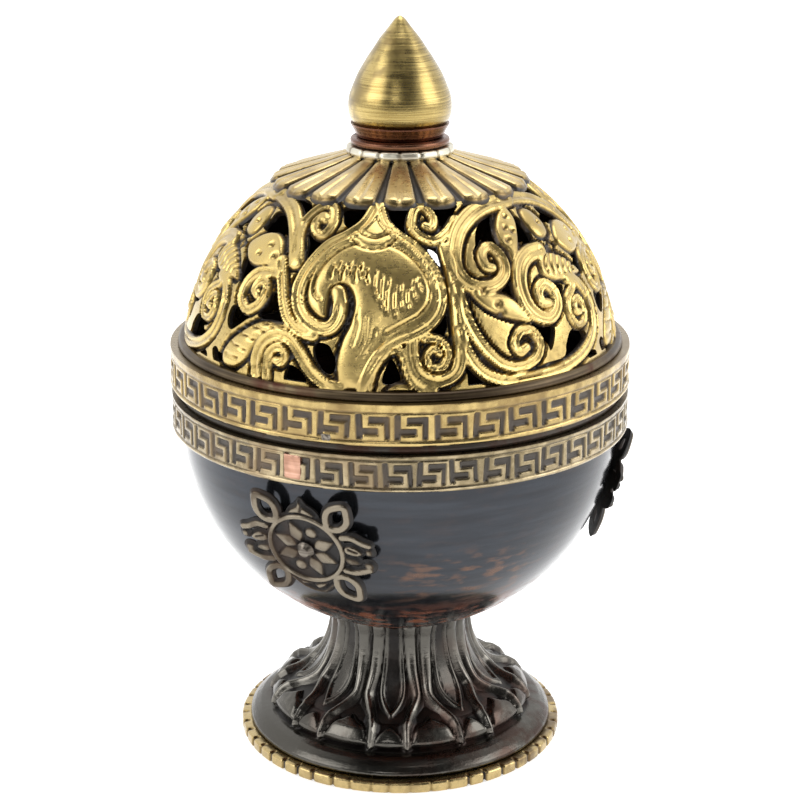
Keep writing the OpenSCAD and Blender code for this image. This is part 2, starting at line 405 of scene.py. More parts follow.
@dataclass
class Sheet:
    """A triangle mesh in millimetres with a relief value at each point."""

    points: np.ndarray
    faces: np.ndarray
    relief: np.ndarray

    @classmethod
    def grid(cls, points: np.ndarray, relief: np.ndarray, wrap: bool = True) -> "Sheet":
        """Joins a grid of points into triangles, facing along columns then rows.

        Args:
            points: The grid's points, by row, column and axis.
            relief: The relief value at each point.
            wrap: Whether the last column joins the first.

        Returns:
            The sheet.
        """
        rows, columns = relief.shape
        index = np.arange(rows * columns).reshape(rows, columns)
        right = np.roll(index, -1, axis=1) if wrap else index[:, 1:]
        left = index if wrap else index[:, :-1]
        a, b = left[:-1].ravel(), right[:-1].ravel()
        c, d = right[1:].ravel(), left[1:].ravel()
        faces = np.vstack([np.column_stack([a, b, c]), np.column_stack([a, c, d])])
        return cls(points.reshape(-1, 3), faces, relief.ravel())

    def pierced(self, keep: np.ndarray) -> "Sheet":
        """Cuts away the parts of the sheet where a value at its points is negative.

        Args:
            keep: The value at each point; the cut runs where it is zero.

        Returns:
            The sheet that is left.
        """
        inside = keep[self.faces] > 0
        count = inside.sum(1)
        whole = self.faces[count == 3]
        part = self.faces[(count == 1) | (count == 2)]
        lone_in = (count[(count == 1) | (count == 2)] == 1)[:, None]
        flags = inside[(count == 1) | (count == 2)] == lone_in
        first = flags.argmax(1)
        rows = np.arange(len(part))
        a, b, c = (part[rows, (first + k) % 3] for k in range(3))
        ends = np.vstack([np.column_stack([a, b]), np.column_stack([a, c])])
        ends.sort(axis=1)
        pairs, where = np.unique(ends, axis=0, return_inverse=True)
        where = where.ravel()
        low, high = pairs[:, 0], pairs[:, 1]
        share = (keep[low] / (keep[low] - keep[high]))[:, None]
        cuts = self.points[low] * (1 - share) + self.points[high] * share
        tones = self.relief[low] * (1 - share[:, 0]) + self.relief[high] * share[:, 0]
        ab = where[: len(part)] + len(self.points)
        ac = where[len(part) :] + len(self.points)
        one = lone_in[:, 0]
        faces = np.vstack(
            [
                whole,
                np.column_stack([a, ab, ac])[one],
                np.column_stack([ab, b, c])[~one],
                np.column_stack([ab, c, ac])[~one],
            ]
        )
        points = np.vstack([self.points, cuts])
        return Sheet(points, faces, np.concatenate([self.relief, tones])).compact()

    def compact(self) -> "Sheet":
        """Drops the points that no face uses."""
        used, faces = np.unique(self.faces, return_inverse=True)
        return Sheet(self.points[used], faces.reshape(-1, 3), self.relief[used])

    def rim(self) -> np.ndarray:
        """Lists the open edges, each in the direction that its face runs.

        Returns:
            The two points of each edge, one row each.
        """
        edges = np.vstack([self.faces[:, [0, 1]], self.faces[:, [1, 2]], self.faces[:, [2, 0]]])
        size = len(self.points)
        forward = edges[:, 0] * size + edges[:, 1]
        backward = edges[:, 1] * size + edges[:, 0]
        return edges[~np.isin(forward, backward)]

    def walled(self, foot: Callable[[np.ndarray], np.ndarray], steps: int = 2) -> "Sheet":
        """Adds walls from every open edge down to another surface.

        Args:
            foot: Gives the place of each wall's foot from its top.
            steps: How many strips the wall has.

        Returns:
            The sheet with its walls.
        """
        rim = self.rim()
        used, ends = np.unique(rim, return_inverse=True)
        ends = ends.reshape(-1, 2)
        top = self.points[used]
        bottom = foot(top)
        faces = [self.faces]
        points = [self.points]
        relief = [self.relief]
        upper = used[ends]
        for step in range(1, steps + 1):
            start = sum(len(p) for p in points)
            points.append(top + (bottom - top) * step / steps)
            relief.append(np.full(len(used), WALL_TONE))
            lower = ends + start
            faces.append(np.column_stack([upper[:, 1], upper[:, 0], lower[:, 0]]))
            faces.append(np.column_stack([upper[:, 1], lower[:, 0], lower[:, 1]]))
            upper = lower
        return Sheet(np.vstack(points), np.vstack(faces), np.concatenate(relief))

    def backed(self, foot: Callable[[np.ndarray], np.ndarray], steps: int = 2) -> "Sheet":
        """Makes the sheet into a closed plate, with walls and a back on another surface.

        Args:
            foot: Gives the place on the back of each place of the sheet.
            steps: How many strips the walls have.

        Returns:
            The plate.
        """
        back = Sheet(foot(self.points), self.faces, 0 * self.relief).flipped()
        return self.walled(foot, steps).joined(back)

    def joined(self, other: "Sheet") -> "Sheet":
        """Puts two sheets into one mesh."""
        return Sheet(
            np.vstack([self.points, other.points]),
            np.vstack([self.faces, other.faces + len(self.points)]),
            np.concatenate([self.relief, other.relief]),
        )

    def flipped(self) -> "Sheet":
        """Turns the sheet's faces over."""
        return Sheet(self.points, self.faces[:, ::-1], self.relief)

    def turned(self, angle: float) -> "Sheet":
        """Turns the sheet about +Z.

        Args:
            angle: The angle in degrees.

        Returns:
            The turned sheet.
        """
        turn = math.radians(angle)
        matrix = np.array(
            [[math.cos(turn), -math.sin(turn), 0], [math.sin(turn), math.cos(turn), 0], [0, 0, 1]]
        )
        return Sheet(self.points @ matrix.T, self.faces, self.relief)

    def piece(self, name: str, crease: float = 40.0) -> bpy.types.Object:
        """Writes the sheet as a Blender object in metres.

        Args:
            name: The object's name.
            crease: The angle in degrees above which an edge stays sharp.

        Returns:
            The object.
        """
        mesh = bpy.data.meshes.new(name)
        mesh.from_pydata((self.points * MM).tolist(), [], self.faces.tolist())
        mesh.polygons.foreach_set("use_smooth", np.ones(len(self.faces), bool))
        tone = mesh.attributes.new("relief", "FLOAT", "POINT")
        tone.data.foreach_set("value", np.clip(self.relief, 0, 1).astype(np.float32))
        mesh.validate()
        mesh.update()
        mesh.set_sharp_from_angle(angle=math.radians(crease))
        piece = bpy.data.objects.new(name, mesh)
        bpy.context.scene.collection.objects.link(piece)
        return piece


def rounded(corners: Sequence[Point], radius: float, steps: int = 4, closed: bool = True) -> np.ndarray:
    """Rounds the corners of an outline.

    Args:
        corners: The outline's corners.
        radius: How far from each corner the rounding starts.
        steps: How many spans each rounding has.
        closed: Whether the outline is closed; its first point is then repeated at the end.

    Returns:
        The outline's points, one row each.
    """
    knots = [np.array(c, float) for c in corners]
    count = len(knots)
    line = []
    for i, corner in enumerate(knots):
        if not closed and i in (0, count - 1):
            line.append(corner)
            continue
        back, ahead = knots[i - 1] - corner, knots[(i + 1) % count] - corner
        far_back, far_ahead = np.linalg.norm(back), np.linalg.norm(ahead)
        cut = min(radius, 0.45 * far_back, 0.45 * far_ahead)
        start, end = corner + back / far_back * cut, corner + ahead / far_ahead * cut
        for share in np.linspace(0, 1, steps + 1):
            line.append((1 - share) ** 2 * start + 2 * share * (1 - share) * corner + share**2 * end)
    if closed:
        line.append(line[0])
    return np.array(line)


def even_rows(outline: np.ndarray, count: int) -> np.ndarray:
    """Spaces an outline's points evenly along it.

    Args:
        outline: The outline's points, one row each.
        count: How many points it gets.

    Returns:
        The new points, one row each.
    """
    run = np.concatenate([[0], np.cumsum(np.linalg.norm(np.diff(outline, axis=0), axis=1))])
    at = np.linspace(0, run[-1], count)
    return np.column_stack([np.interp(at, run, outline[:, k]) for k in (0, 1)])


def outline_normals(outline: np.ndarray) -> np.ndarray:
    """Works out an outline's outward directions.

    Args:
        outline: The outline's points, run with the metal on the left.

    Returns:
        The direction at each point, one row each.
    """
    way = np.gradient(outline, axis=0)
    if np.allclose(outline[0], outline[-1]):
        way[0] = way[-1] = outline[1] - outline[-2]
    way /= np.linalg.norm(way, axis=1)[:, None]
    return np.column_stack([way[:, 1], -way[:, 0]])


def ball_arc(radius: float, centre: float, low: float, high: float, count: int) -> np.ndarray:
    """Draws a ball's half outline between two heights, in the order that they are given."""
    angle = np.linspace(math.asin((low - centre) / radius), math.asin((high - centre) / radius), count)
    return np.column_stack([radius * np.cos(angle), radius * np.sin(angle) + centre])


def turned_relief(outline: np.ndarray, height: np.ndarray, tone: np.ndarray) -> Sheet:
    """Turns an outline round +Z and raises it along its outward directions.

    Args:
        outline: Radius and height, run so that the metal is on the left.
        height: How far each point is raised, by outline point and column.
        tone: The relief value at each point, in the same order.

    Returns:
        The turned sheet, whose first column is at the front.
    """
    columns = height.shape[1]
    azimuth = np.radians(np.arange(columns) * 360 / columns)
    facing = outline_normals(outline)
    out = outline[:, :1] + facing[:, :1] * height
    up = outline[:, 1:] + facing[:, 1:] * height
    return Sheet.grid(round_axis(out, azimuth, up), tone)


def ripple(count: int, seed: int, waves: Sequence[int], size: float) -> np.ndarray:
    """Makes a closed row of gentle, seeded unevenness.

    Args:
        count: How many values go round the turn.
        seed: The seed of the random phases.
        waves: How many waves each part has round the turn.
        size: The largest value, about.

    Returns:
        The values.
    """
    draw = np.random.default_rng(seed)
    turn = np.linspace(0, 2 * math.pi, count, endpoint=False)
    row = sum(np.sin(wave * turn + draw.uniform(0, 6.28)) for wave in waves)
    return row * size / len(waves)


# === Shaders ===


class Value:
    """A number that varies over a surface. Arithmetic on it adds Math nodes."""

    def __init__(self, shader: "Shader", socket: bpy.types.NodeSocket) -> None:
        """Wraps a socket of a shader."""
        self.shader = shader
        self.socket = socket

    def _math(self, operation: str, first: "Value | float", second: "Value | float") -> "Value":
        """Adds one Math node and returns its result."""
        node = self.shader.node("ShaderNodeMath", {"operation": operation}, {0: first, 1: second})
        return Value(self.shader, node.outputs[0])

    def __add__(self, other: "Value | float") -> "Value":
        """Adds."""
        return self._math("ADD", self, other)

    def __radd__(self, other: float) -> "Value":
        """Adds to a number."""
        return self._math("ADD", other, self)

    def __sub__(self, other: "Value | float") -> "Value":
        """Subtracts."""
        return self._math("SUBTRACT", self, other)

    def __rsub__(self, other: float) -> "Value":
        """Subtracts from a number."""
        return self._math("SUBTRACT", other, self)

    def __mul__(self, other: "Value | float") -> "Value":
        """Multiplies."""
        return self._math("MULTIPLY", self, other)

    def __rmul__(self, other: float) -> "Value":
        """Multiplies a number."""
        return self._math("MULTIPLY", other, self)

    def swing(self, size: float) -> "Value":
        """Swings by so much about 0, for a noise whose middle is 0.5."""
        return (self - 0.5) * size

    def rise(self, low: float, high: float) -> "Value":
        """Rises smoothly from 0 at low to 1 at high, or falls if high is the lower one."""
        node = self.shader.node(
            "ShaderNodeMapRange",
            {"interpolation_type": "SMOOTHSTEP"},
            {"Value": self, "From Min": low, "From Max": high},
        )
        return Value(self.shader, node.outputs[0])


Tint = Colour | bpy.types.NodeSocket


class Shader:
    """A material's node tree while it is being made."""

    def __init__(self, name: str) -> None:
        """Starts an empty material.

        Args:
            name: The material's name.
        """
        self.material = bpy.data.materials.new(name)
        self.material.use_nodes = True
        self.tree = self.material.node_tree
        self.tree.nodes.clear()

    def node(self, kind: str, settings: dict[str, object], inputs: dict[int | str, object]) -> bpy.types.Node:
        """Adds any node.

        Args:
            kind: The node's type.
            settings: The node's own settings, which are set first.
            inputs: The value or the link of each socket, by index or name.

        Returns:
            The node.
        """
        node = self.tree.nodes.new(kind)
        for key, setting in settings.items():
            setattr(node, key, setting)
        for key, value in inputs.items():
            source = value.socket if isinstance(value, Value) else value
            if isinstance(source, bpy.types.NodeSocket):
                self.tree.links.new(source, node.inputs[key])
            else:
                node.inputs[key].default_value = source
        return node

    def relief(self) -> Value:
        """Reads how high a place stands in the relief, from 0 to 1."""
        node = self.node("ShaderNodeAttribute", {"attribute_name": "relief"}, {})
        return Value(self, node.outputs["Fac"])

    def axes(self) -> tuple[Value, Value, Value]:
        """Reads the place on the piece, in metres."""
        return self.parts(self.node("ShaderNodeTexCoord", {}, {}).outputs["Object"])

    def parts(self, vector: bpy.types.NodeSocket) -> tuple[Value, Value, Value]:
        """Splits a vector into its three parts."""
        parts = self.node("ShaderNodeSeparateXYZ", {}, {0: vector}).outputs
        return Value(self, parts[0]), Value(self, parts[1]), Value(self, parts[2])

    def noise(self, scale: float, detail: float = 3, stretch: Colour = (1, 1, 1), shift: float = 0) -> Value:
        """Adds noise in the piece's own space.

        Args:
            scale: How many blotches there are to a metre.
            detail: How many finer layers it has.
            stretch: How much finer it is along each axis.
            shift: Moves it, so that two noises differ.

        Returns:
            The noise, mostly from 0.3 to 0.7.
        """
        place = self.node("ShaderNodeTexCoord", {}, {}).outputs["Object"]
        moved = self.node("ShaderNodeVectorMath", {"operation": "ADD"}, {0: place, 1: (shift, shift, shift)})
        scaled = self.node(
            "ShaderNodeVectorMath",
            {"operation": "MULTIPLY"},
            {0: moved.outputs[0], 1: tuple(scale * s for s in stretch)},
        )
        node = self.node(
            "ShaderNodeTexNoise", {}, {"Vector": scaled.outputs[0], "Scale": 1.0, "Detail": detail}
        )
        return Value(self, node.outputs["Fac"])

    def mix(self, share: Value | float, first: Tint, second: Tint) -> bpy.types.NodeSocket:
        """Mixes two colours.

        Args:
            share: How much there is of the second colour.
            first: The first colour.
            second: The second colour.

        Returns:
            The mixed colour.
        """
        pair = [c if isinstance(c, bpy.types.NodeSocket) else (*c, 1.0) for c in (first, second)]
        node = self.node("ShaderNodeMix", {"data_type": "RGBA"}, {0: share, 6: pair[0], 7: pair[1]})
        return node.outputs[2]

    def bump(self, height: Value, distance: float) -> bpy.types.NodeSocket:
        """Bends the surface's facing by a height, whose full range is so many metres."""
        return self.node("ShaderNodeBump", {}, {"Height": height, "Distance": distance}).outputs[0]

    def surface(self, **inputs: object) -> bpy.types.Material:
        """Adds the surface shader and the output.

        Args:
            inputs: The shader's inputs, named with _ for a space.

        Returns:
            The finished material.
        """
        named = {key.replace("_", " "): value for key, value in inputs.items()}
        shader = self.node("ShaderNodeBsdfPrincipled", {}, named)
        self.node("ShaderNodeOutputMaterial", {}, {"Surface": shader.outputs[0]})
        return self.material


@dataclass(frozen=True)
class Antiqued:
    """Raised metal, rubbed bright on its crests and left dark in its hollows."""

    name: str
    hollow: Colour
    body: Colour
    crest: Colour
    tarnish: Colour
    tarnish_share: float = 0.4
    edge: Point = (0.12, 0.5)
    gloss: float = 0.24
    dull: float = 0.55
    grain: float = 0.00003
    least_metal: float = 0.3
    coat: float = 0.5

    def make(self) -> bpy.types.Material:
        """Builds the material.

        Returns:
            The material.
        """
        shader = Shader(self.name)
        relief = shader.relief()
        broad = shader.noise(60, 2)
        patch = shader.noise(260, 4, shift=0.3)
        fine = shader.noise(1300, 3, shift=0.7)
        scored = shader.noise(900, 2, stretch=(1, 1, 6), shift=1.1)
        worn = (relief + patch.swing(0.3)).rise(*self.edge)
        bright = (relief + fine.swing(0.35) + broad.swing(0.3)).rise(0.6, 0.95)
        colour = shader.mix(worn, self.hollow, self.body)
        colour = shader.mix(bright, colour, self.crest)
        stain = broad.rise(0.42, 0.66) * patch.rise(0.38, 0.6) * self.tarnish_share
        colour = shader.mix(stain, colour, self.tarnish)
        rough = self.dull - worn * (self.dull - self.gloss) + fine.swing(0.2) + stain * 0.15
        metal = self.least_metal + worn * (1 - self.least_metal)
        grain = shader.bump(fine * 0.6 + scored * 0.6 + patch * 1.2, self.grain)
        return shader.surface(Base_Color=colour, Roughness=rough, Metallic=metal, Normal=grain,
                              Coat_Weight=self.coat, Coat_Roughness=COAT_ROUGHNESS)


@dataclass(frozen=True)
class Turned:
    """Smooth metal from the lathe, with fine rings, stains and small scratches."""

    name: str
    body: Colour
    light: Colour
    stain: Colour
    stain_share: float = 0.5
    gloss: float = 0.28
    rings: float = 0.00002
    ring_scale: float = 2600
    metal: float = 1.0
    coat: float = 0.2

    def make(self) -> bpy.types.Material:
        """Builds the material.

        Returns:
            The material.
        """
        shader = Shader(self.name)
        broad = shader.noise(70, 3)
        patch = shader.noise(330, 4, shift=0.4)
        fine = shader.noise(1500, 3, shift=0.9)
        ring = shader.noise(self.ring_scale, 2, stretch=(0.02, 0.02, 1), shift=0.2)
        colour = shader.mix((broad * 0.5 + ring * 0.5).rise(0.36, 0.64), self.body, self.light)
        stain = broad.rise(0.45, 0.62) * patch.rise(0.4, 0.62) * self.stain_share
        colour = shader.mix(stain, colour, self.stain)
        rough = self.gloss + ring.swing(0.25) + fine.swing(0.15) + stain * 0.2
        rings = shader.bump(ring + fine * 0.35 + patch * 0.5, self.rings)
        return shader.surface(Base_Color=colour, Roughness=rough, Metallic=self.metal, Normal=rings,
                              Coat_Weight=self.coat, Coat_Roughness=COAT_ROUGHNESS)


@dataclass(frozen=True)
class Patina:
    """The bowl's glossy, nearly black patina, rubbed to copper on one side, with dark red painted near the
    foot as the foot's reflection and shade.
    """

    name: str = "bowl_patina"
    dark: Colour = (0.035, 0.037, 0.042)
    blue: Colour = (0.048, 0.053, 0.062)
    copper: Colour = (0.24, 0.12, 0.065)
    reflected_maroon: Colour = (0.17, 0.05, 0.02)

    def make(self) -> bpy.types.Material:
        """Builds the material.

        Returns:
            The material.
        """
        shader = Shader(self.name)
        x, y, z = shader.axes()
        broad = shader.noise(28, 3)
        patch = shader.noise(190, 5, stretch=(1, 1, 1.6), shift=0.35)
        fine = shader.noise(800, 4, shift=0.8)
        streak = shader.noise(420, 3, stretch=(0.16, 0.16, 1.8), shift=0.15)
        colour = shader.mix((broad * 0.6 + streak * 0.4).rise(0.38, 0.62), self.dark, self.blue)
        # The bottom zone by the foot: mottled dark red is painted here as the foot's reflection and shade,
        # with less metal and more roughness.
        low = z.rise(0.035, 0.0285)
        belt = z.rise(0.031, 0.036) * z.rise(0.046, 0.040)
        side = x.rise(-0.008, 0.003) * x.rise(0.026, 0.014) * y.rise(0, -0.01)
        speck = shader.noise(460, 5, stretch=(0.55, 1, 1.9), shift=0.6)
        rubbed = (patch * 0.4 + speck * 0.7).rise(0.54, 0.7) * (belt * side * 0.4 + 0.03)
        colour = shader.mix(rubbed, colour, self.copper)
        foot_reflection = low * (speck * 0.5 + patch * 0.5).rise(0.46, 0.56)
        colour = shader.mix(foot_reflection, colour, self.reflected_maroon)
        rough = 0.16 + streak.swing(0.12) + fine.swing(0.1) + rubbed * 0.25 + foot_reflection * 0.15
        marks = shader.bump(streak + fine * 0.25, 0.00002)
        metal = 0.85 - foot_reflection * 0.6
        return shader.surface(Base_Color=colour, Roughness=rough, Metallic=metal, Normal=marks)


class Finish(Enum):
    """The burner's finishes."""

    LID_BRASS = Antiqued(
        "lid_brass", (0.010, 0.006, 0.003), (0.245, 0.157, 0.03), (0.62, 0.455, 0.155), (0.12, 0.065, 0.02),
        gloss=0.28, edge=(0.2, 0.72),
    )
    CAP_BRASS = Antiqued(
        "cap_brass", (0.008, 0.005, 0.003), (0.23, 0.155, 0.05), (0.62, 0.465, 0.20), (0.12, 0.07, 0.025),
        gloss=0.28,
    )
    LID_BAND = Antiqued(
        "lid_band_brass", (0.035, 0.02, 0.007), (0.25, 0.17, 0.055), (0.49, 0.36, 0.135),
        (0.17, 0.105, 0.035), edge=(0.1, 0.75), tarnish_share=0.7,
    )
    BOWL_BAND = Antiqued(
        "bowl_band_brass", (0.03, 0.02, 0.01), (0.17, 0.13, 0.065), (0.40, 0.32, 0.19),
        (0.14, 0.088, 0.04), edge=(0.1, 0.75), tarnish_share=0.7,
    )
    FOOT = Antiqued(
        "foot_gunmetal", (0.006, 0.004, 0.003), (0.088, 0.083, 0.073), (0.17, 0.16, 0.14),
        (0.05, 0.022, 0.015), gloss=0.2, dull=0.34, coat=0.0, tarnish_share=0.7, least_metal=0.6,
    )
    BASE = Antiqued(
        "base_brass", (0.02, 0.012, 0.006), (0.22, 0.15, 0.05), (0.52, 0.39, 0.17), (0.10, 0.055, 0.022),
        tarnish_share=0.8,
    )
    PLAQUE = Antiqued(
        "plaque_silver", (0.006, 0.004, 0.003), (0.046, 0.034, 0.023), (0.21, 0.18, 0.135),
        (0.04, 0.024, 0.016), gloss=0.3, edge=(0.25, 0.8), tarnish_share=0.7, coat=0.0,
    )
    COLLAR = Antiqued(
        "collar_silver", (0.03, 0.022, 0.014), (0.40, 0.36, 0.27), (0.72, 0.68, 0.55), (0.20, 0.13, 0.08),
        gloss=0.34,
    )
    # The seat ring's near-black umber is painted shade, for the shadow in the gap between the lid band and
    # the dome's foot.
    SHADED_SEAT = Turned(
        "seat_painted_shade", (0.04, 0.026, 0.014), (0.15, 0.11, 0.06), (0.065, 0.014, 0.007), 0.85, gloss=0.4
    )
    COPPER = Turned(
        "copper", (0.12, 0.045, 0.024), (0.27, 0.13, 0.07), (0.03, 0.011, 0.007), 1.0, rings=0.00001
    )
    SOLDER = Turned(
        "copper_solder", (0.36, 0.18, 0.11), (0.62, 0.37, 0.27), (0.17, 0.07, 0.04), 0.7, gloss=0.38
    )
    BUD = Turned(
        "bud_brass", (0.24, 0.165, 0.036), (0.56, 0.42, 0.14), (0.13, 0.08, 0.022), 0.6,
        rings=0.000025, ring_scale=5200, coat=0.8,
    )
    STEEL = Turned("steel", (0.3, 0.3, 0.29), (0.5, 0.49, 0.47), (0.13, 0.11, 0.09), gloss=0.34)
    RIVET = Turned(
        "rivet_silver", (0.09, 0.075, 0.06), (0.26, 0.23, 0.19), (0.04, 0.025, 0.018), 0.7, gloss=0.34
    )
    LINING = Turned(
        "dark_lining", (0.035, 0.03, 0.025), (0.07, 0.06, 0.05), (0.06, 0.02, 0.01), 0.6, gloss=0.45
    )
    BOWL = Patina()


MADE: dict[Finish, bpy.types.Material] = {}


def material_of(finish: Finish) -> bpy.types.Material:
    """Makes a finish's material, once.

    Args:
        finish: The finish.

    Returns:
        Its material.
    """
    if finish not in MADE:
        MADE[finish] = finish.value.make()
    return MADE[finish]


def dress(piece: bpy.types.Object, finish: Finish, body: str, slot: str, *nodes: str) -> None:
    """Gives a piece its finish and ties it to the frame.

    Args:
        piece: The piece, in place.
        finish: Its finish.
        body: The body that it rides on.
        slot: The record's material slot; not used.
        nodes: The CAD nodes that it stands for.
    """
    piece.data.materials.append(material_of(finish))
    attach(piece, body)
    if nodes:
        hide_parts(*nodes)
    LOG.info("%s: %d faces on %s", piece.name, len(piece.data.polygons), body)


# === The lid's pierced dome ===

DOME_FEATURES: tuple[Ribbon | Leaf, ...] = (
    # The broad leaf with its rolled rims
    Leaf(
        [(-9.2, 94.8), (-7, 93.2), (-3, 92.2), (2, 91.2), (7, 89.3), (10.5, 87), (12, 84.5), (11, 82),
         (8, 80.2), (4, 79), (0, 78.2), (-3.5, 77), (-6.5, 75), (-8.5, 72.5), (-9.5, 70.5), (-14.5, 70.5),
         (-16, 73), (-16, 75.5), (-15, 78), (-13.5, 80), (-12.8, 82.5), (-14, 84.3), (-16.5, 85.2),
         (-19.5, 84.6), (-20, 82.5), (-20, 80.5), (-23, 80.7), (-26.6, 82.4), (-27.6, 85), (-26, 88.1),
         (-22, 90.8), (-17, 92.2), (-11.5, 93.8)],
        rise=1.0, crown=0.4,
    ),
    Ribbon([(-9.9, 95.4), (-13, 93.1), (-18, 91.5), (-24, 90), (-28, 87.5), (-29.8, 85), (-29.3, 82.5),
            (-26.5, 80.4), (-22.5, 79.2), (-18.8, 79.2), (-16.8, 80.6), (-16.6, 82.6), (-17.6, 84.2)],
           1.19, 1.15),
    Ribbon([(-8.9, 95.4), (-6, 93.4), (-1, 91.8), (5, 90.2), (9.5, 87.8), (11.5, 85), (11, 82.3), (8, 80.2),
            (3.5, 78.8), (-0.5, 78), (-4, 76.6), (-6.7, 74.5), (-8.6, 72), (-9.3, 70.4)], 0.96, 1.15),
    # The upright with its scroll, and the arch beside it
    Ribbon([(3, 78), (3.2, 75.5), (5, 73), (9.5, 71.9), (13.8, 73), (15.3, 75.5), (15.3, 79), (15.5, 83),
            (15.6, 87), (15, 90)], 1.11),
    Ribbon([(6.3, 78.3), (10.5, 77.6), (12, 75.8), (10.5, 74), (7.5, 74.2), (6.8, 75.8), (8.6, 76.8),
            (10, 75.9)], 0.88, end=0.7),
    Ribbon([(-8, 70.4), (-6.8, 73.5), (-4.2, 75.8), (-1.2, 76.8), (1, 75.6), (2.2, 73), (4.5, 71.2),
            (8, 70.5)], 0.86),
    Leaf([(-3.5, 70.4), (-1.5, 71.6), (1, 71.8), (3.5, 71), (4, 70.4)], rise=0.8),
    # The curls under the cap
    Ribbon([(-34, 87.5), (-36.5, 90), (-38.3, 92.3), (-36, 94.2), (-32, 95), (-28, 94.4), (-26, 92.8),
            (-27.5, 91.4), (-31, 91.5), (-33.4, 92.6), (-31.5, 93.6), (-29.8, 93.2)], 1.03, end=0.8),
    Ribbon([(22, 93.4), (17, 91.9), (12, 91), (7, 91.6), (4.3, 93), (6, 94.8), (10, 95.1), (13, 93.9),
            (12, 92.7), (9.5, 92.9)], 1.03, end=0.75),
    # The great C scroll and its dotted leaf
    Ribbon([(52, 94.9), (44, 94.8), (36, 94.5), (28, 93.6), (21.5, 92), (17.8, 89.6), (17.2, 87.2),
            (19.8, 85.3), (24.5, 84.5), (29.5, 84.9), (33, 86.3), (33.3, 88.3), (30.5, 89.7), (27, 88.8),
            (27, 87.3), (29, 86.9)], 1.72, 1.1, 0.4, end=0.5),
    Leaf([(18, 86.2), (21.5, 84.9), (26, 83.9), (30.5, 83.4), (34, 82.2), (36.5, 80), (37.5, 78.6),
          (33, 79.2), (28, 80.2), (23.5, 81.6), (20.2, 83.6)], rise=0.95),
    # The two stems at the foot
    Ribbon([(16.3, 85), (17.5, 81.5), (19.5, 78.5), (22.5, 75.8), (26.5, 73.6), (31.5, 72.8), (36.5, 73.6),
            (38.4, 75.6), (36.6, 77.6), (33, 77.9), (30.6, 76.4), (31.8, 74.9), (34, 75.4)], 1.11, end=0.75),
    Ribbon([(15.6, 79), (17.2, 75.8), (20.5, 73), (25.5, 71.3), (32, 70.8), (40, 70.9), (48, 71.3),
            (56, 72.6), (61.5, 74.8), (63.8, 77.8), (63.3, 80.6), (60.5, 82.6), (56.5, 83.2)], 1.06),
    # The large spiral with its comb leaf and the curl that hangs from it
    Ribbon([(50, 88), (44.5, 87.8), (39.5, 86.6), (36.8, 84.3), (37, 81.5), (39.8, 79.5), (44, 78.9),
            (47.8, 80.2), (48.2, 82.3), (45.5, 83.6), (42.3, 82.8), (42.2, 81.2), (44.6, 80.9)],
           1.56, 1.1, end=0.6),
    Leaf([(46, 85), (48, 87.3), (53, 87.6), (58.5, 86.8), (63, 85.3), (66, 83.2), (62, 83.2), (58, 82.6),
          (54, 83.2), (50, 83.6)], rise=0.95),
    Ribbon([(57.5, 82), (53.1, 80.6), (52, 78.6), (54, 76.7), (57.8, 76.8), (59.5, 78.6), (58.1, 80.3),
            (55.5, 79.8), (55.1, 78.6), (56.9, 78.3)], 0.88, end=0.8),
    # The flame leaf, the bud and the ribbon over them
    Leaf([(47, 94.2), (41, 93.4), (36.5, 91.9), (35.3, 90), (37, 88.8), (36.6, 87.3), (40, 87.6),
          (42.5, 89), (45.5, 90.6), (48.5, 92.3), (49, 93.8)], rise=0.95),
    Leaf([(51.6, 91.3), (53.4, 93), (57.2, 93.5), (61, 93), (62.8, 91.3), (61, 89.6), (57.2, 89.1),
          (53.4, 89.6)], rise=1.05, crown=0.5),
    Leaf([(57.5, 89.4), (58.4, 88.3), (60, 88), (58.4, 87.6), (57.5, 86.4), (56.6, 87.6), (55, 88),
          (56.6, 88.3)], rise=0.8),
    Ribbon([(50, 95), (62, 94.6), (72, 93.6), (79, 91.8), (83.5, 89.5), (86, 87.5)], 1.4),
    # The left-hand dotted leaf, its stem and the drop under it
    Leaf([(62, 88.2), (66, 90), (72, 90.7), (77, 90), (79.8, 88.4), (81.5, 86.3), (83.5, 84.6), (81, 85),
          (77, 86.2), (71, 85.8), (66, 86.2)], rise=1.0),
    Ribbon([(80.5, 87.3), (83.8, 84.6), (86.3, 82), (89, 79.8), (93, 78.4), (97, 78)], 1.06),
    Ribbon([(81, 85.6), (77.5, 85.6), (73, 85), (70.4, 83.3), (70.6, 81.2), (74, 79.9), (77.5, 80.8),
            (79.2, 82.6), (78, 84.2), (75.4, 84), (74.8, 82.8), (76.3, 82.2)], 1.06, end=0.8),
    # The big leaf low on the left, its arch and its hanging curl
    Leaf([(90.6, 78.9), (84, 79.2), (79, 78.6), (74, 76.8), (70, 74.8), (67.8, 72.6), (69, 70.8),
          (73.5, 70.8), (77.5, 72.6), (80, 75.2), (83, 77), (87.5, 77.6)], rise=1.0, crown=0.4),
    Ribbon([(81.5, 71), (81, 73.5), (82.2, 75.8), (86, 77.3), (90.5, 77), (94, 75.2), (97, 73),
            (101, 71.2), (105, 70.5)], 1.11),
    Ribbon([(85, 70.6), (84.6, 72.8), (85, 74.6), (87.4, 75.6), (89.6, 74.8), (89, 73.4), (87.2, 73.6)],
           0.96, end=0.8),
)


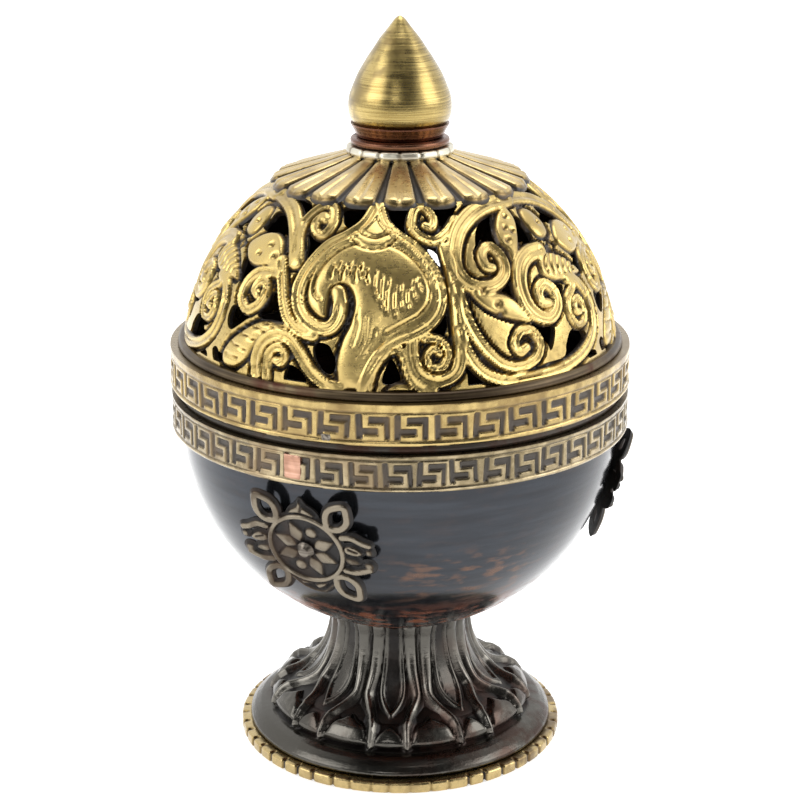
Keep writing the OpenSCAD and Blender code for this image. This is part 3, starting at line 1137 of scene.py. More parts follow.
def fan(starts: Sequence[Point], ends: Sequence[Point], bend: float, depth: float) -> tuple[Chase, ...]:
    """Draws chased lines from one row of points to another.

    Args:
        starts: Where the lines start.
        ends: Where they end.
        bend: How far the middle of each line is bent in azimuth.
        depth: How deep the lines are.

    Returns:
        The lines.
    """
    lines = []
    for (x1, y1), (x2, y2) in zip(starts, ends):
        middle = ((x1 + x2) / 2 + bend, (y1 + y2) / 2)
        lines.append(Chase([(x1, y1), middle, (x2, y2)], half_width=0.17, depth=depth))
    return tuple(lines)


def dots(places: Sequence[Point]) -> tuple[Chase, ...]:
    """Punches round dots."""
    return tuple(Chase([(x - 0.1, y), (x + 0.1, y)], half_width=0.42, depth=0.5) for x, y in places)


# The grooves and hatching on the leaves, and the punched dots
DOME_CHASES: tuple[Chase, ...] = (
    Chase([(-15, 92), (-9, 91.3), (-4, 92)], 0.24, 0.35),
    Chase([(-17, 91.1), (-13, 90.2), (-9, 89.9), (-5, 90.2), (-1.5, 91.2)], 0.24, 0.35),
    Chase([(-4, 90.6), (1.5, 89.6), (5.8, 87.9), (8.3, 85.6), (8, 83.3), (5.2, 81.5), (1, 80.3), (-3.4, 79)],
          0.26, 0.32),
    Chase([(-14.5, 90.6), (-19.5, 89.6), (-23.6, 87.8), (-25.4, 85.6), (-24.6, 83.8), (-22.6, 83)],
          0.26, 0.32),
    *fan([(-20.4, 87.5), (-18.6, 88), (-16.9, 87.6), (-15.2, 88), (-13.6, 87.5), (-11.8, 87.9), (-10, 87.2)],
         [(-20.8, 85.9), (-18.7, 86.6), (-17.4, 85.8), (-14.9, 86.5), (-13.1, 85.6), (-11, 86.2),
          (-9.1, 85.5)], -0.3, 0.36),
    *fan([(-7, 87), (-5, 86.4), (-3, 86), (-1.2, 85), (0.6, 85.4), (2.4, 84.8), (4, 86), (5.6, 86.4)],
         [(-6.2, 83.4), (-4.6, 82.4), (-3.4, 81.6), (-1, 81.2), (0.8, 82.2), (2.6, 82.4), (4.6, 83.4),
          (6.4, 84.6)], -0.5, 0.26),
    *fan([(-11.6, 82), (-8.6, 81), (-6, 79.4)], [(-12, 77), (-10.6, 75.4), (-9, 75.6)], 0.8, 0.16),
    *dots([(24, 84), (27.5, 82), (28, 80.7), (44, 92.8), (40.5, 91.5), (43, 91), (39, 90), (58.5, 91.2)]),
    *dots([(74, 88.9), (70.5, 87.5), (77.5, 87.6)]),
    *fan([(49, 84.8), (51.5, 84.5), (54, 84.3), (56.5, 84), (59, 83.9), (61.5, 84)],
         [(51, 87), (54, 87.1), (57, 86.8), (59.5, 86.3), (61.8, 85.7), (63.6, 84.9)], -1.0, 0.35),
    *fan([(88.5, 78.3), (85.5, 78), (82.5, 77.3), (79.5, 75.8), (77, 74), (74.6, 72.6)],
         [(84.5, 78.9), (81.5, 78.6), (78, 77.7), (74.5, 76.3), (71.5, 74.6), (69.6, 72.8)], 0.5, 0.3),
)

# The openings between the strands
DOME_HOLES: tuple[tuple[Point, ...], ...] = (
    ((-51.5, 95), (-46, 95.1), (-40, 94.6), (-40.5, 93.2), (-44, 93.4), (-49, 93.9)),
    ((-24.5, 94.8), (-15, 95.1), (-15, 93.8), (-18, 92.6), (-21, 92.7), (-23, 93.8)),
    ((-9, 95.1), (2.5, 95.1), (2, 93.8), (2, 92.4), (-1, 92.2), (-4, 92.9), (-7, 94)),
    ((14, 95.1), (25, 95.1), (21.5, 94), (17, 92.7), (14.6, 93.4)),
    ((-34.5, 91.4), (-29, 91.4), (-25.5, 91), (-25.2, 90.2), (-28.5, 88.6), (-31, 88), (-32.5, 90)),
    ((9, 90.6), (15.5, 91.2), (15, 89), (14.3, 87.2), (11.8, 88.2)),
    ((-22, 76.9), (-18.2, 76.8), (-16.6, 75), (-16.8, 72.8), (-19.5, 72.9), (-22, 75)),
    ((7.8, 78.8), (9.3, 81.6), (12, 82.2), (12.6, 80), (11, 78), (9, 78)),
    ((-4.4, 71.9), (-2.2, 75.3), (0, 72.9), (-0.6, 71.6)),
    ((16.8, 70.9), (17.3, 75), (19.5, 73.7), (22, 71.3), (20, 70.8)),
    ((42, 94.5), (35.5, 93.5), (30, 92.4), (27, 91.2), (25.4, 89.5), (27, 89.2), (28.7, 90.7), (31.5, 89.5),
     (34, 87.9), (35.7, 89.2), (35.2, 91), (37.2, 92.7)),
    ((26.5, 84.8), (32, 86.2), (35.4, 86), (35.8, 84.5), (35, 82.4), (32, 83.2), (29, 84)),
    ((47.3, 83.4), (50, 83.2), (52.8, 82.6), (50.8, 81), (49.4, 79.5), (48.2, 81.5)),
    ((37.3, 78.8), (43, 78.6), (44.6, 77.5), (43.2, 75.3), (41.4, 74.2), (40.3, 76.2), (38.3, 77.6)),
    ((47.6, 74.6), (50.5, 76.3), (55, 76.1), (57.2, 74.6), (55.3, 73.2), (50, 72), (46, 72), (47, 73.5)),
    ((45.3, 91.3), (48, 92.5), (50, 92.7), (51.3, 91), (50.3, 89.3), (46.5, 88.6), (44.5, 89.7)),
    ((64, 91.8), (70, 92.5), (76.2, 91.8), (73, 91), (67, 90.4), (64, 90.7)),
    ((65, 85.9), (70, 85.8), (73.7, 85.3), (72, 83.9), (69.5, 83.2), (66, 83.5)),
    ((78.8, 79.5), (81, 82.7), (83.7, 83), (86.2, 81), (88.4, 79.5), (84, 79.1)),
    ((68.3, 79.8), (73, 79.8), (75.8, 78.9), (73, 77.4), (70, 76.4), (67.8, 77.5)),
    ((63.5, 72.6), (65.5, 73.2), (67.7, 71.9), (68.2, 70.8), (65, 70.8)),
    ((78.8, 70.8), (80.2, 73.2), (82.2, 72.3), (82.7, 70.8)),
    ((90.3, 70.8), (91, 73.2), (93.6, 73), (96.7, 71), (94, 70.8)),
    ((64.4, 92.8), (69, 93), (74, 92.1), (77.2, 90.8), (73, 90.5), (68, 91), (65.3, 91.5)),
    ((64, 86.9), (66.5, 87.2), (69.7, 86.1), (68.6, 84.4), (65.4, 84.8)),
    ((56.8, 70.8), (58.4, 72), (60.6, 71.8), (61.2, 70.8)),
    ((83.9, 76.5), (86.1, 75.7), (86.4, 74), (84.2, 73.3), (83, 75)),
)


@dataclass
class PiercedDome:
    """The cast dome: scrollwork chased on the outside and cut through between the strands."""

    radius: float = 35.5
    centre: float = 65.9
    inner: float = 34.35
    low: float = 70.5
    high: float = 95.4
    foot_strip: float = 71.0
    top_strip: float = 95.2
    web: float = 0.95
    relief: float = 1.12
    reach: float = 0.12
    ornament: Ornament = field(init=False)

    def __post_init__(self) -> None:
        """Sets the ornament on its chart."""
        chart = BallChart(self.radius, self.centre)
        self.ornament = Ornament(chart, DOME_FEATURES, DOME_CHASES, holes=DOME_HOLES, infill=0.74)

    def _face(self, columns: int, rows: int) -> Sheet:
        """Makes the dome's outside, raised and pierced.

        Args:
            columns: Steps in a third of a turn.
            rows: Steps from foot to top.

        Returns:
            The sheet.
        """
        arc = ball_arc(self.radius, self.centre, self.low, self.high, rows)
        azimuth = np.arange(columns) * 120 / columns
        flat = np.stack(np.meshgrid(azimuth, arc[:, 1]), -1).reshape(-1, 2)
        height, clear, solid = self.ornament.field(flat)
        strips = np.maximum(self.foot_strip - flat[:, 1], flat[:, 1] - self.top_strip)
        keep = np.maximum(np.maximum(self.reach - clear, solid), strips)
        height, keep = (np.tile(v.reshape(rows, columns), 3) for v in (height, keep))
        sheet = turned_relief(arc, height * self.relief - self.web, smooth_step(0.05, 0.95, height))
        return sheet.pierced(keep.ravel())

    def _inwards(self, tops: np.ndarray) -> np.ndarray:
        """Moves places of the outside to the inside, straight towards the middle.

        Args:
            tops: The places, one row each.

        Returns:
            The places on the inside.
        """
        middle = np.array([0, 0, self.centre])
        way = tops - middle
        return middle + way / np.linalg.norm(way, axis=1)[:, None] * self.inner

    def build(self) -> None:
        """Builds the dome, with its walls and its plain inside."""
        face = self._face(columns=232, rows=100)
        piece = face.backed(self._inwards).piece("pierced_dome", crease=50)
        dress(piece, Finish.LID_BRASS, "lid", "dome_brass", "lid_dome")


@dataclass
class PetalCap:
    """The round of lotus petals that covers the top of the dome."""

    petals: int = 20
    hub: float = 8.4
    reach: float = 20.95
    outline: Sequence[Point] = (
        (8.4, 99.5), (9.2, 99.25), (11.7, 98.35), (15.1, 97.25), (18.2, 96.2), (19.8, 95.6), (20.95, 95.0)
    )
    wall: float = 0.95
    round_end: float = 1.3
    vein: float = 0.25
    vein_width: float = 0.14
    under_seat: Point = (19.4, 94.75)
    under_hub: float = 98.2
    steps: int = 30
    rows: int = 46

    def build(self) -> None:
        """Builds the cap."""
        steps, columns = self.steps, self.petals * self.steps
        across = (np.arange(columns) % steps - steps / 2) / (steps / 2)
        along = np.linspace(0, 1, self.rows)[:, None]
        end = self.reach - 0.15 - self.round_end * np.abs(across) ** 3
        out = self.hub + (end - self.hub) * along
        curve = np.array(self.outline)
        up = np.interp(out, curve[:, 0], curve[:, 1])
        half = 0.94 - 0.06 * along
        body = 1 - smooth_step(half * 0.8, half * 1.03, np.abs(across))
        crown = 0.35 + 0.65 * np.sqrt(np.clip(1 - (across / half) ** 2, 0, 1))
        tip = smooth_step(0, 0.06, 1 - along)
        rise = body * crown * (0.45 + 0.55 * tip)
        vein = self.vein * dip(across, self.vein_width) * smooth_step(0.25, 0.6, along) * tip
        lift = (rise - vein) * (0.65 + 0.6 * along) - 0.4
        top = np.stack([out, up + lift], -1)
        edge = top[-1]
        level = np.ones(columns)
        seat_out, seat_up = self.under_seat
        under_out = np.stack([edge[:, 0] - 0.1, edge[:, 0] - 1.4, seat_out * level, self.hub * level])
        under_up = np.stack([edge[:, 1] - self.wall * 0.7, edge[:, 1] - self.wall, seat_up * level,
                             self.under_hub * level])
        rim_out = np.concatenate([top[..., 0], under_out, top[:1, :, 0]])[::-1]
        rim_up = np.concatenate([top[..., 1], under_up, top[:1, :, 1]])[::-1]
        tones = np.concatenate([rise, np.full(under_out.shape, 0.1), rise[:1]])[::-1]
        turn = np.radians((np.arange(columns) - steps / 2) * 360 / columns)
        sheet = Sheet.grid(round_axis(rim_out, turn, rim_up), smooth_step(0.15, 0.98, tones))
        piece = sheet.piece("petal_cap_cast", crease=50)
        dress(piece, Finish.CAP_BRASS, "lid", "dome_brass", "petal_cap")


# === Bands ===


@dataclass
class KeyBand:
    """A brass band stamped all round with a key pattern."""

    name: str
    finish: Finish
    body: str
    slot: str
    node: str
    keys: int
    low: float
    high: float
    inner: float
    field_low: float
    field_high: float
    wave: float
    seed: int
    start: float
    radius: float = BAND_RADIUS
    depth: float = 0.42
    soft: float = 0.16
    bead: float = 0.16
    bead_width: float = 0.26
    line_depth: float = 0.14
    line_width: float = 0.14
    dent: float = 0.09
    wear: float = 0.22
    steps: int = 26
    rows: int = 34

    # Left, right, bottom and top of each stamped bar, in shares of the key
    RECESSES = (
        (0.42, 0.93, 0.62, 0.88), (0.82, 0.94, 0.04, 0.88), (0.10, 0.25, 0.04, 0.96), (0.2, 0.66, 0.20, 0.44)
    )

    def _cell(self, u: np.ndarray, v: np.ndarray, draw: np.random.Generator) -> np.ndarray:
        """Works out how deep one stamped key is.

        Args:
            u: The place across the cell, from 0 to 1.
            v: The place up the cell, from 0 to 1.
            draw: Where the unevenness of hand stamping comes from.

        Returns:
            The depth, from 0 to about 1.
        """
        width, height = 2 * math.pi * self.radius / self.keys, self.field_high - self.field_low
        skew = draw.uniform(-0.05, 0.05)
        shift = draw.uniform(-0.03, 0.03)
        drop = draw.uniform(-0.04, 0.04)
        depth = np.zeros(np.broadcast(u, v).shape)
        for left, right, bottom, top in self.RECESSES:
            force = draw.uniform(0.75, 1.1)
            u1 = u - shift - skew * (v - 0.5)
            across = self._within((u1 - left) * width) * self._within((right - u1) * width)
            up = self._within((v - drop - bottom) * height) * self._within((top - v + drop) * height)
            depth = np.maximum(depth, across * up * force)
        return depth

    def _within(self, gap: np.ndarray) -> np.ndarray:
        """Rises softly where a distance inside an edge goes through zero."""
        return smooth_step(-self.soft, self.soft, gap)

    def build(self) -> None:
        """Builds the band."""
        draw = np.random.default_rng(self.seed)
        columns = self.keys * self.steps
        levels = np.linspace(self.low + 0.2, self.high - 0.2, self.rows)
        face = np.column_stack([np.full(self.rows, self.radius), levels])
        back_edge = self.radius - 0.02
        rest = rounded(
            [(back_edge, self.high - 0.02), (self.inner, self.high), (self.inner, self.low),
             (back_edge, self.low + 0.02)],
            0.3, 3, closed=False,
        )
        outline = np.vstack([face, rest, face[:1]])
        v = ((face[:, 1] - self.field_low) / (self.field_high - self.field_low))[:, None]
        u = (np.arange(self.steps) / self.steps)[None, :]
        depth = np.hstack([self._cell(u, v, draw) for _ in range(self.keys)])
        depth = np.roll(depth, round(self.start / 360 * columns), axis=1)
        wave = ripple(columns, self.seed, (5, 9, 14, 23, 37), self.wave)
        bead_low = dip(face[:, 1:] - self.low - 0.42 - wave, self.bead_width)
        line = dip(face[:, 1:] - self.field_low + 0.12 - wave * 0.5, self.line_width)
        line = line + dip(face[:, 1:] - self.field_high - 0.14 + wave * 0.4, self.line_width)
        dent = ripple(columns, self.seed + 1, (3, 7, 11, 19, 53), self.dent)
        lift = self.bead * bead_low - self.line_depth * line - self.depth * depth + dent
        worn = ripple(columns, self.seed + 2, (4, 9, 17, 31, 61, 97), self.wear)
        tone = 0.78 + worn + 0.2 * bead_low - 0.3 * line - 0.95 * depth
        rest_lift = np.zeros((len(rest), columns))
        lift = np.vstack([lift, rest_lift, lift[:1]])
        tone = np.vstack([tone, rest_lift + 0.6, tone[:1]])
        piece = turned_relief(outline, lift, tone).piece(self.name, crease=60)
        dress(piece, self.finish, self.body, self.slot, self.node)


@dataclass
class SolderJoint:
    """The lump of solder over a band's butt joint."""

    name: str
    node: str
    body: str
    slot: str
    finish: Finish
    azimuth: float
    width: float
    low: float
    high: float
    radius: float = 37.42
    rise: float = 0.36
    sunk: float = 0.5
    columns: int = 25
    rows: int = 33

    def build(self) -> None:
        """Builds the lump as a closed pad on the band."""
        x, y = np.meshgrid(np.linspace(-1, 1, self.columns), np.linspace(-1, 1, self.rows))
        wobble = 0.08 * np.sin(5 * y + 1) + 0.05 * np.sin(9 * y)
        edge = np.clip(1 - np.abs(x) ** 5, 0, 1) * np.clip(1 - np.abs(y) ** 7, 0, 1)
        bulge = self.rise * edge**0.5 + 0.04 * np.sin(6 * x + 3 * y) * edge - 0.25 * (edge <= 0)
        turn = np.radians(self.azimuth + (x * (1 + wobble * (1 - np.abs(x)))) * self.width / 2)
        out = self.radius + bulge - 0.12
        up = (self.low + self.high) / 2 + y * (self.high - self.low) / 2
        shrink = 1 - self.sunk / self.radius
        inwards = np.array([shrink, shrink, 1])
        face = Sheet.grid(round_axis(out, turn, up), np.ones(x.shape), wrap=False)
        piece = face.backed(lambda tops: tops * inwards, 1).piece(self.name)
        dress(piece, self.finish, self.body, self.slot, self.node)


# === Turned pieces ===


@dataclass
class TurnedPiece:
    """A plain piece from the lathe, given by an outline, which is closed if it is open."""

    name: str
    outline: np.ndarray
    finish: Finish
    body: str
    slot: str
    nodes: tuple[str, ...]
    columns: int = 192
    wobble: float = 0.0
    scallops: int = 0
    scallop_depth: float = 0.0
    scallop_width: float = 0.28
    scallop_reach: float = 1.3
    seed: int = 3
    crease: float = 35

    def build(self) -> None:
        """Builds the piece."""
        outline = self.outline
        if not np.allclose(outline[0], outline[-1]):
            outline = np.vstack([outline, outline[:1]])
        rows = len(outline)
        height = np.zeros((rows, self.columns))
        tone = np.ones((rows, self.columns))
        if self.wobble:
            height += ripple(self.columns, self.seed, (2, 3, 5, 8), self.wobble)
            height += ripple(rows, self.seed + 1, (2, 5, 9), self.wobble * 0.5)[:, None]
        if self.scallops:
            turn = np.arange(self.columns) * self.scallops / self.columns * 2 * math.pi
            cut = dip(np.sin(turn / 2), self.scallop_width)
            outer = (outline[:, 0] > outline[:, 0].max() - self.scallop_reach)[:, None]
            height -= self.scallop_depth * cut * outer
            tone -= 0.6 * cut * outer
        height[-1], tone[-1] = height[0], tone[0]
        piece = turned_relief(outline, height, tone).piece(self.name, self.crease)
        dress(piece, self.finish, self.body, self.slot, *self.nodes)


def shell(radius: float, wall: float, centre: float, low: float, high: float, rows: int) -> np.ndarray:
    """Draws a spun ball shell's closed outline, with a flat floor and a straight rim.

    Args:
        radius: The outer radius.
        wall: The wall's thickness.
        centre: The height of the centre of curvature.
        low: The underside of the floor.
        high: The top of the rim.
        rows: How many points the outside has.

    Returns:
        The outline, from the middle of the underside round to the middle of the floor.
    """
    outside = ball_arc(radius, centre, low, min(centre, high), rows)
    inside = ball_arc(radius - wall, centre, min(centre, high), low + wall, rows // 2)
    rim = np.array([[outside[-1, 0], high], [inside[0, 0], high]])
    return np.vstack([[[AXIS, low]], outside, rim, inside, [[AXIS, low + wall]]])


# === The foot ===


def mirrored(points: Sequence[Point], side: int, flip: int = 1) -> list[Point]:
    """Mirrors a path left to right if side is -1, and top to bottom if flip is."""
    return [(side * x, flip * y) for x, y in points]


@dataclass
class Pedestal:
    """The cast lotus foot, with nine long petals over a rolled rim."""

    petals: int = 9
    first: float = -5.0
    wall: float = 1.5
    flute_centre: Point = (19.6, 21.0)
    flute_size: Point = (8.0, 12.0)
    sill: float = 5.0
    bore: float = 2.0
    plate_low: float = 20.9
    steps: int = 62
    rows: int = 110
    relief: float = 1.25
    web: float = 0.75
    # How much each petal's floor is lightened, front petal first: painted sheen, nil at the front and most on
    # the side petals that face the side lights.
    rubbed: Sequence[float] = (0.0, 0.55, 1.0, 0.9, 0.7, 0.8, 0.7, 1.0, 0.6)

    def _outline(self) -> np.ndarray:
        """Draws the outside from the rim up to the neck.

        Returns:
            Radius and height, one row each.
        """
        rim = [(24.6, BASE_TOP), (25.5, 1.95), (25.9, 2.3), (25.75, 2.9), (25.1, 3.6), (24.1, 4.3),
               (23.1, 4.6), (22.6, 4.75), (22.35, 5.0), (22.3, 5.4), (22.0, 6.4), (21.0, 7.8), (19.6, 8.8)]
        angle = np.radians(np.linspace(78, 3, 14))
        (out, up), (wide, tall) = self.flute_centre, self.flute_size
        flute = np.column_stack([out - wide * np.cos(angle), up - tall * np.sin(angle)])
        return np.vstack([rim, flute, [[12.0, FOOT_TOP]]])

    def _features(self) -> tuple[Ribbon | Leaf, ...]:
        """Lists what is raised on one petal and the flute beside it.

        Returns:
            The raised features.
        """
        outer = [(12.6, 23.2), (13.6, 19), (14.6, 15), (15.8, 12.5), (15.8, 11.2), (12.5, 9.9), (9, 8.9),
                 (8, 8), (7.9, 5.3)]
        inner = [(5, 23.2), (6, 19), (6.8, 15), (7.2, 12.6), (6.2, 11.2), (3.4, 10.1), (0, 9.35)]
        strands = []
        for side in (-1, 1):
            strands.append(Ribbon(mirrored(outer, side), 1.3, 0.95, 0.0, end=0.55, ramp=0.85))
            strands.append(Ribbon(mirrored(inner, side), 0.62, 0.6, 0.0, ramp=0.5))
        return (
            *strands,
            Leaf([(16.4, 23), (17.4, 18), (18, 14), (18.6, 11.6), (20, 10.4), (21.4, 11.6), (22, 14),
                  (22.6, 18), (23.6, 23)], rise=0.85, soft=1.2, crown=0.6),
            Leaf([(-4.6, 23.2), (-5.4, 19), (-6, 15), (-6.2, 12.6), (-4.6, 11), (0, 9.8), (4.6, 11),
                  (6.2, 12.6), (6, 15), (5.4, 19), (4.6, 23.2)], rise=0.34, crown=0.0),
            Leaf([(10, 5.4), (10, 7.2), (12, 8.4), (16, 8.9), (20, 9.3), (24, 8.9), (28, 8.4), (30, 7.2),
                  (30, 5.4)], rise=0.72, soft=1.0, crown=0.3),
            Leaf([(-6, 5.4), (-6, 7), (-3, 8.1), (0, 8.5), (3, 8.1), (6, 7), (6, 5.4)], rise=0.6, crown=0.3),
        )

    def build(self) -> None:
        """Builds the foot."""
        turn = 360 / self.petals
        steps = self.steps
        outside = even_rows(self._outline(), self.rows)
        chart = TurnedChart(outside)
        ornament = Ornament(chart, self._features(), turn=turn, margin=1.5)
        azimuth = np.arange(steps) * turn / steps - self.first
        flat = np.stack(np.meshgrid(azimuth, outside[:, 1]), -1).reshape(-1, 2)
        height, _, _ = ornament.field(flat)
        height = np.tile(height.reshape(len(outside), steps), self.petals)
        level = outside[:, 1:]
        plain = 1 - smooth_step(self.sill - 0.1, self.sill + 0.3, level)
        groove = dip(level - self.sill, 0.22)
        lift = (height * self.relief - self.web) * (1 - plain) - 0.35 * groove
        lift += ripple(height.shape[1], seed=21, waves=(2, 3, 5, 7, 12), size=0.1) * plain
        tone = smooth_step(0.1, 0.95, height) * (1 - plain) + 0.62 * plain - 0.5 * groove
        # Painted sheen on the floors of the side petals; the front petal is left dark.
        start = round((self.first - turn / 2) / turn * steps)
        wear = np.roll(np.repeat(np.array(self.rubbed), steps), start)
        floor = smooth_step(0.08, 0.2, height) * (1 - smooth_step(0.42, 0.6, height))
        tone += 0.3 * wear * floor * (1 - plain)
        # Painted shade: the petals are darkened towards the neck, for the shadow of the bowl above.
        tone *= 1 - 0.4 * smooth_step(14.5, 20, level)
        inside = outside[::-6] - [self.wall, 0]
        inside[-1] = (23.6, BASE_TOP)
        plate = [[self.bore, FOOT_TOP], [self.bore, self.plate_low], [9.9, self.plate_low]]
        outline = np.vstack([outside, plate, inside[1:], outside[:1]])
        extra = len(outline) - len(outside)
        lift = np.vstack([lift, np.zeros((extra, lift.shape[1]))])
        tone = np.vstack([tone, np.full((extra, tone.shape[1]), 0.2)])
        lift[-1], tone[-1] = lift[0], tone[0]
        piece = turned_relief(outline, lift, tone).piece("lotus_foot", crease=45)
        dress(piece, Finish.FOOT, "base", "foot_gunmetal", "pedestal")


@dataclass
class BaseRing:
    """The brass ring under the foot, filed with notches round its edge."""

    notches: int = 52
    radius: float = 27.4
    inner: float = 24.0
    height: float = BASE_TOP
    notch_width: float = 0.085
    notch_depth: float = 0.5
    seed: int = 8
    steps: int = 18

    def build(self) -> None:
        """Builds the ring."""
        draw = np.random.default_rng(self.seed)
        steps, columns = self.steps, self.notches * self.steps
        corners = [(self.inner, 0), (self.radius, 0), (self.radius, self.height), (self.inner, self.height)]
        outline = even_rows(rounded(corners, 0.55, 8), 64)
        cell = np.arange(columns) % steps / steps - 0.5
        which = np.arange(columns) // steps
        force = draw.uniform(0.45, 1.0, self.notches)
        shift = draw.uniform(-0.09, 0.09, self.notches)
        bearing = (which + 0.5) * 360 / self.notches
        worn = 0.22 + 0.78 * smooth_step(14, 30, np.minimum(bearing, 360 - bearing))
        cut = dip(cell - shift[which], self.notch_width) * force[which] * worn
        outer = smooth_step(self.radius - 1.5, self.radius - 0.6, outline[:, :1])
        side = outer * smooth_step(0.1, 0.6, outline[:, 1:])
        waver = ripple(columns, seed=4, waves=(2, 3, 6, 11), size=0.08)
        lift = waver * side - self.notch_depth * cut * outer
        tone = 0.9 - 0.9 * np.clip(cut * 1.3, 0, 1) * outer
        piece = turned_relief(outline, lift, tone).piece("notched_ring", crease=50)
        dress(piece, Finish.BASE, "base", "base_brass", "base_ring")


# === Plaques ===


def round_path(radius: float, x: float = 0.0, y: float = 0.0, count: int = 16) -> list[Point]:
    """Lists points round a circle."""
    return [
        (x + radius * math.cos(2 * math.pi * k / count), y + radius * math.sin(2 * math.pi * k / count))
        for k in range(count)
    ]


def petal(angle: float, start: float, end: float, half: float) -> list[Point]:
    """Draws a pointed petal that lies along a direction from the middle.

    Args:
        angle: The direction in degrees.
        start: How far out it starts.
        end: How far out its point is.
        half: Half its width.

    Returns:
        The petal's outline.
    """
    turn = math.radians(angle)
    shape = [(start, 0), (0.35 * end + 0.65 * start, half), (0.7 * end + 0.3 * start, 0.7 * half), (end, 0),
             (0.7 * end + 0.3 * start, -0.7 * half), (0.35 * end + 0.65 * start, -half)]
    ahead, aside = math.cos(turn), math.sin(turn)
    return [(x * ahead - y * aside, x * aside + y * ahead) for x, y in shape]


@dataclass
class WheelPlaque:
    """A cast wheel of eight petals between two lotus sprays, riveted to the bowl."""

    index: int
    azimuth: float
    tilt: float = 18.5
    centre_z: float = BOWL_CENTRE
    back: float = BOWL_RADIUS + 0.25
    plate: float = 0.85
    relief: float = 0.85
    dish: float = 0.004
    web: float = 0.25
    cell: float = 0.17
    half_width: float = 12.6
    half_height: float = 10.4

    def _features(self) -> tuple[Ribbon | Leaf, ...]:
        """Lists everything that is raised on the plaque.

        Returns:
            The raised features.
        """
        made: list[Ribbon | Leaf] = [
            Leaf(round_path(6.2), rise=0.12, crown=0.0),
            Ribbon(round_path(6.1), 0.5, 0.95, 0.0, closed=True),
            Leaf(round_path(1.15, count=8), rise=0.85, crown=0.6),
        ]
        for k in range(8):
            angle = 22.5 + 45 * k
            # Two of the petals are round buds
            if k in (1, 5):
                turn = math.radians(angle)
                blob = round_path(1.25, 3.6 * math.cos(turn), 3.6 * math.sin(turn), 8)
                made.append(Leaf(blob, rise=1.0, crown=0.5))
            else:
                made.append(Leaf(petal(angle, 1.3, 5.6, 1.4), rise=1.0, soft=0.5, crown=0.5))
        loop = [(4.3, 5.2), (4.3, 7.0), (5.2, 8.3), (7.3, 8.9), (7.7, 7.8), (7.6, 6.1), (6.6, 4.9),
                (5.3, 4.6)]
        sprays = (
            ([(6.5, 1.6), (8.2, 1.9), (9.6, 0.6), (8.6, -0.2), (6.6, 0.2)], 0.95, 0.25),
            ([(6.4, -0.4), (8.4, -0.6), (9.0, -1.7), (7.4, -2.2), (6.3, -1.6)], 0.75, 0.25),
            ([(9.3, -1.2), (10.6, -1), (11.2, -1.9), (10.6, -2.9), (9.4, -2.6)], 0.95, 0.5),
            ([(9.9, 0.2), (11.1, 0.2), (11.1, 1.5), (9.9, 1.5)], 1.0, 0.5),
        )
        stems = (
            [(6.4, 3.2), (8, 3.3), (9.6, 2.5), (10.6, 2.2)],
            [(6.2, -3.2), (7.8, -3.4), (9.2, -3.0), (10.2, -2.6)],
        )
        for side in (-1, 1):
            for flip in (-1, 1):
                path = mirrored(loop, side, flip)
                made.append(Ribbon(path, 0.66, 0.95, 0.12, closed=True, ramp=0.42))
            made += [Leaf(mirrored(path, side), rise=rise, crown=crown) for path, rise, crown in sprays]
            made += [Ribbon(mirrored(path, side), 0.62, 0.85, 0.0) for path in stems]
        made += [
            Leaf([(-2.2, 6.4), (-1.7, 7.4), (-0.6, 8.2), (0, 9.2), (0.8, 8.1), (2.0, 7.3), (2.6, 6.2),
                  (0, 6.6)], rise=0.9),
            Leaf([(-2.4, -6.4), (-1.8, -7.4), (-0.4, -7.2), (0, -6.7)], rise=0.85),
            Leaf([(2.6, -6.2), (2.2, -7.3), (0.9, -8.0), (0.2, -7.0)], rise=0.85),
            Ribbon([(-3.4, -6.2), (-1.2, -7.9), (1.6, -8.3), (3.6, -6.6)], 0.4, 0.6, 0.0),
        ]
        return tuple(made)

    def build(self) -> None:
        """Builds the plaque in its place on the bowl."""
        x = np.arange(-self.half_width, self.half_width + self.cell, self.cell)
        y = np.arange(-self.half_height, self.half_height + self.cell, self.cell)
        flat = np.stack(np.meshgrid(x, y), -1).reshape(-1, 2)
        chases = (
            Chase([(0.5, 8.3), (0.1, 7.2)], 0.2, 0.3), Chase([(7.2, 1.2), (8.6, 0.7)], 0.2, 0.35),
            Chase([(-7.2, 1.2), (-8.6, 0.7)], 0.2, 0.35),
        )
        height, clear, _ = Ornament(FlatChart(), self._features(), chases, turn=0.0).field(flat)
        shape = (len(y), len(x))
        depth = self.plate - 0.25 + self.relief * height - self.dish * (flat**2).sum(1)
        local = np.column_stack([flat, depth]).reshape(*shape, 3)
        front = Sheet.grid(local, smooth_step(0.1, 0.9, height).reshape(shape), wrap=False)
        front = front.pierced(self.web - clear)
        floor = np.array([1.0, 1.0, 0.0])
        body = front.backed(lambda tops: tops * floor)
        tilt = math.radians(self.tilt)
        across, up, out = body.points.T
        out = out + self.back
        forward = out * math.cos(tilt) + up * math.sin(tilt)
        height_z = up * math.cos(tilt) - out * math.sin(tilt) + self.centre_z
        body.points = np.column_stack([across, -forward, height_z])
        piece = body.turned(self.azimuth).piece(f"wheel_plaque_cast_{self.index}", crease=50)
        dress(piece, Finish.PLAQUE, "base", "antique_silver", f"wheel_plaque_{self.index}")


# === The assembly's turned parts ===


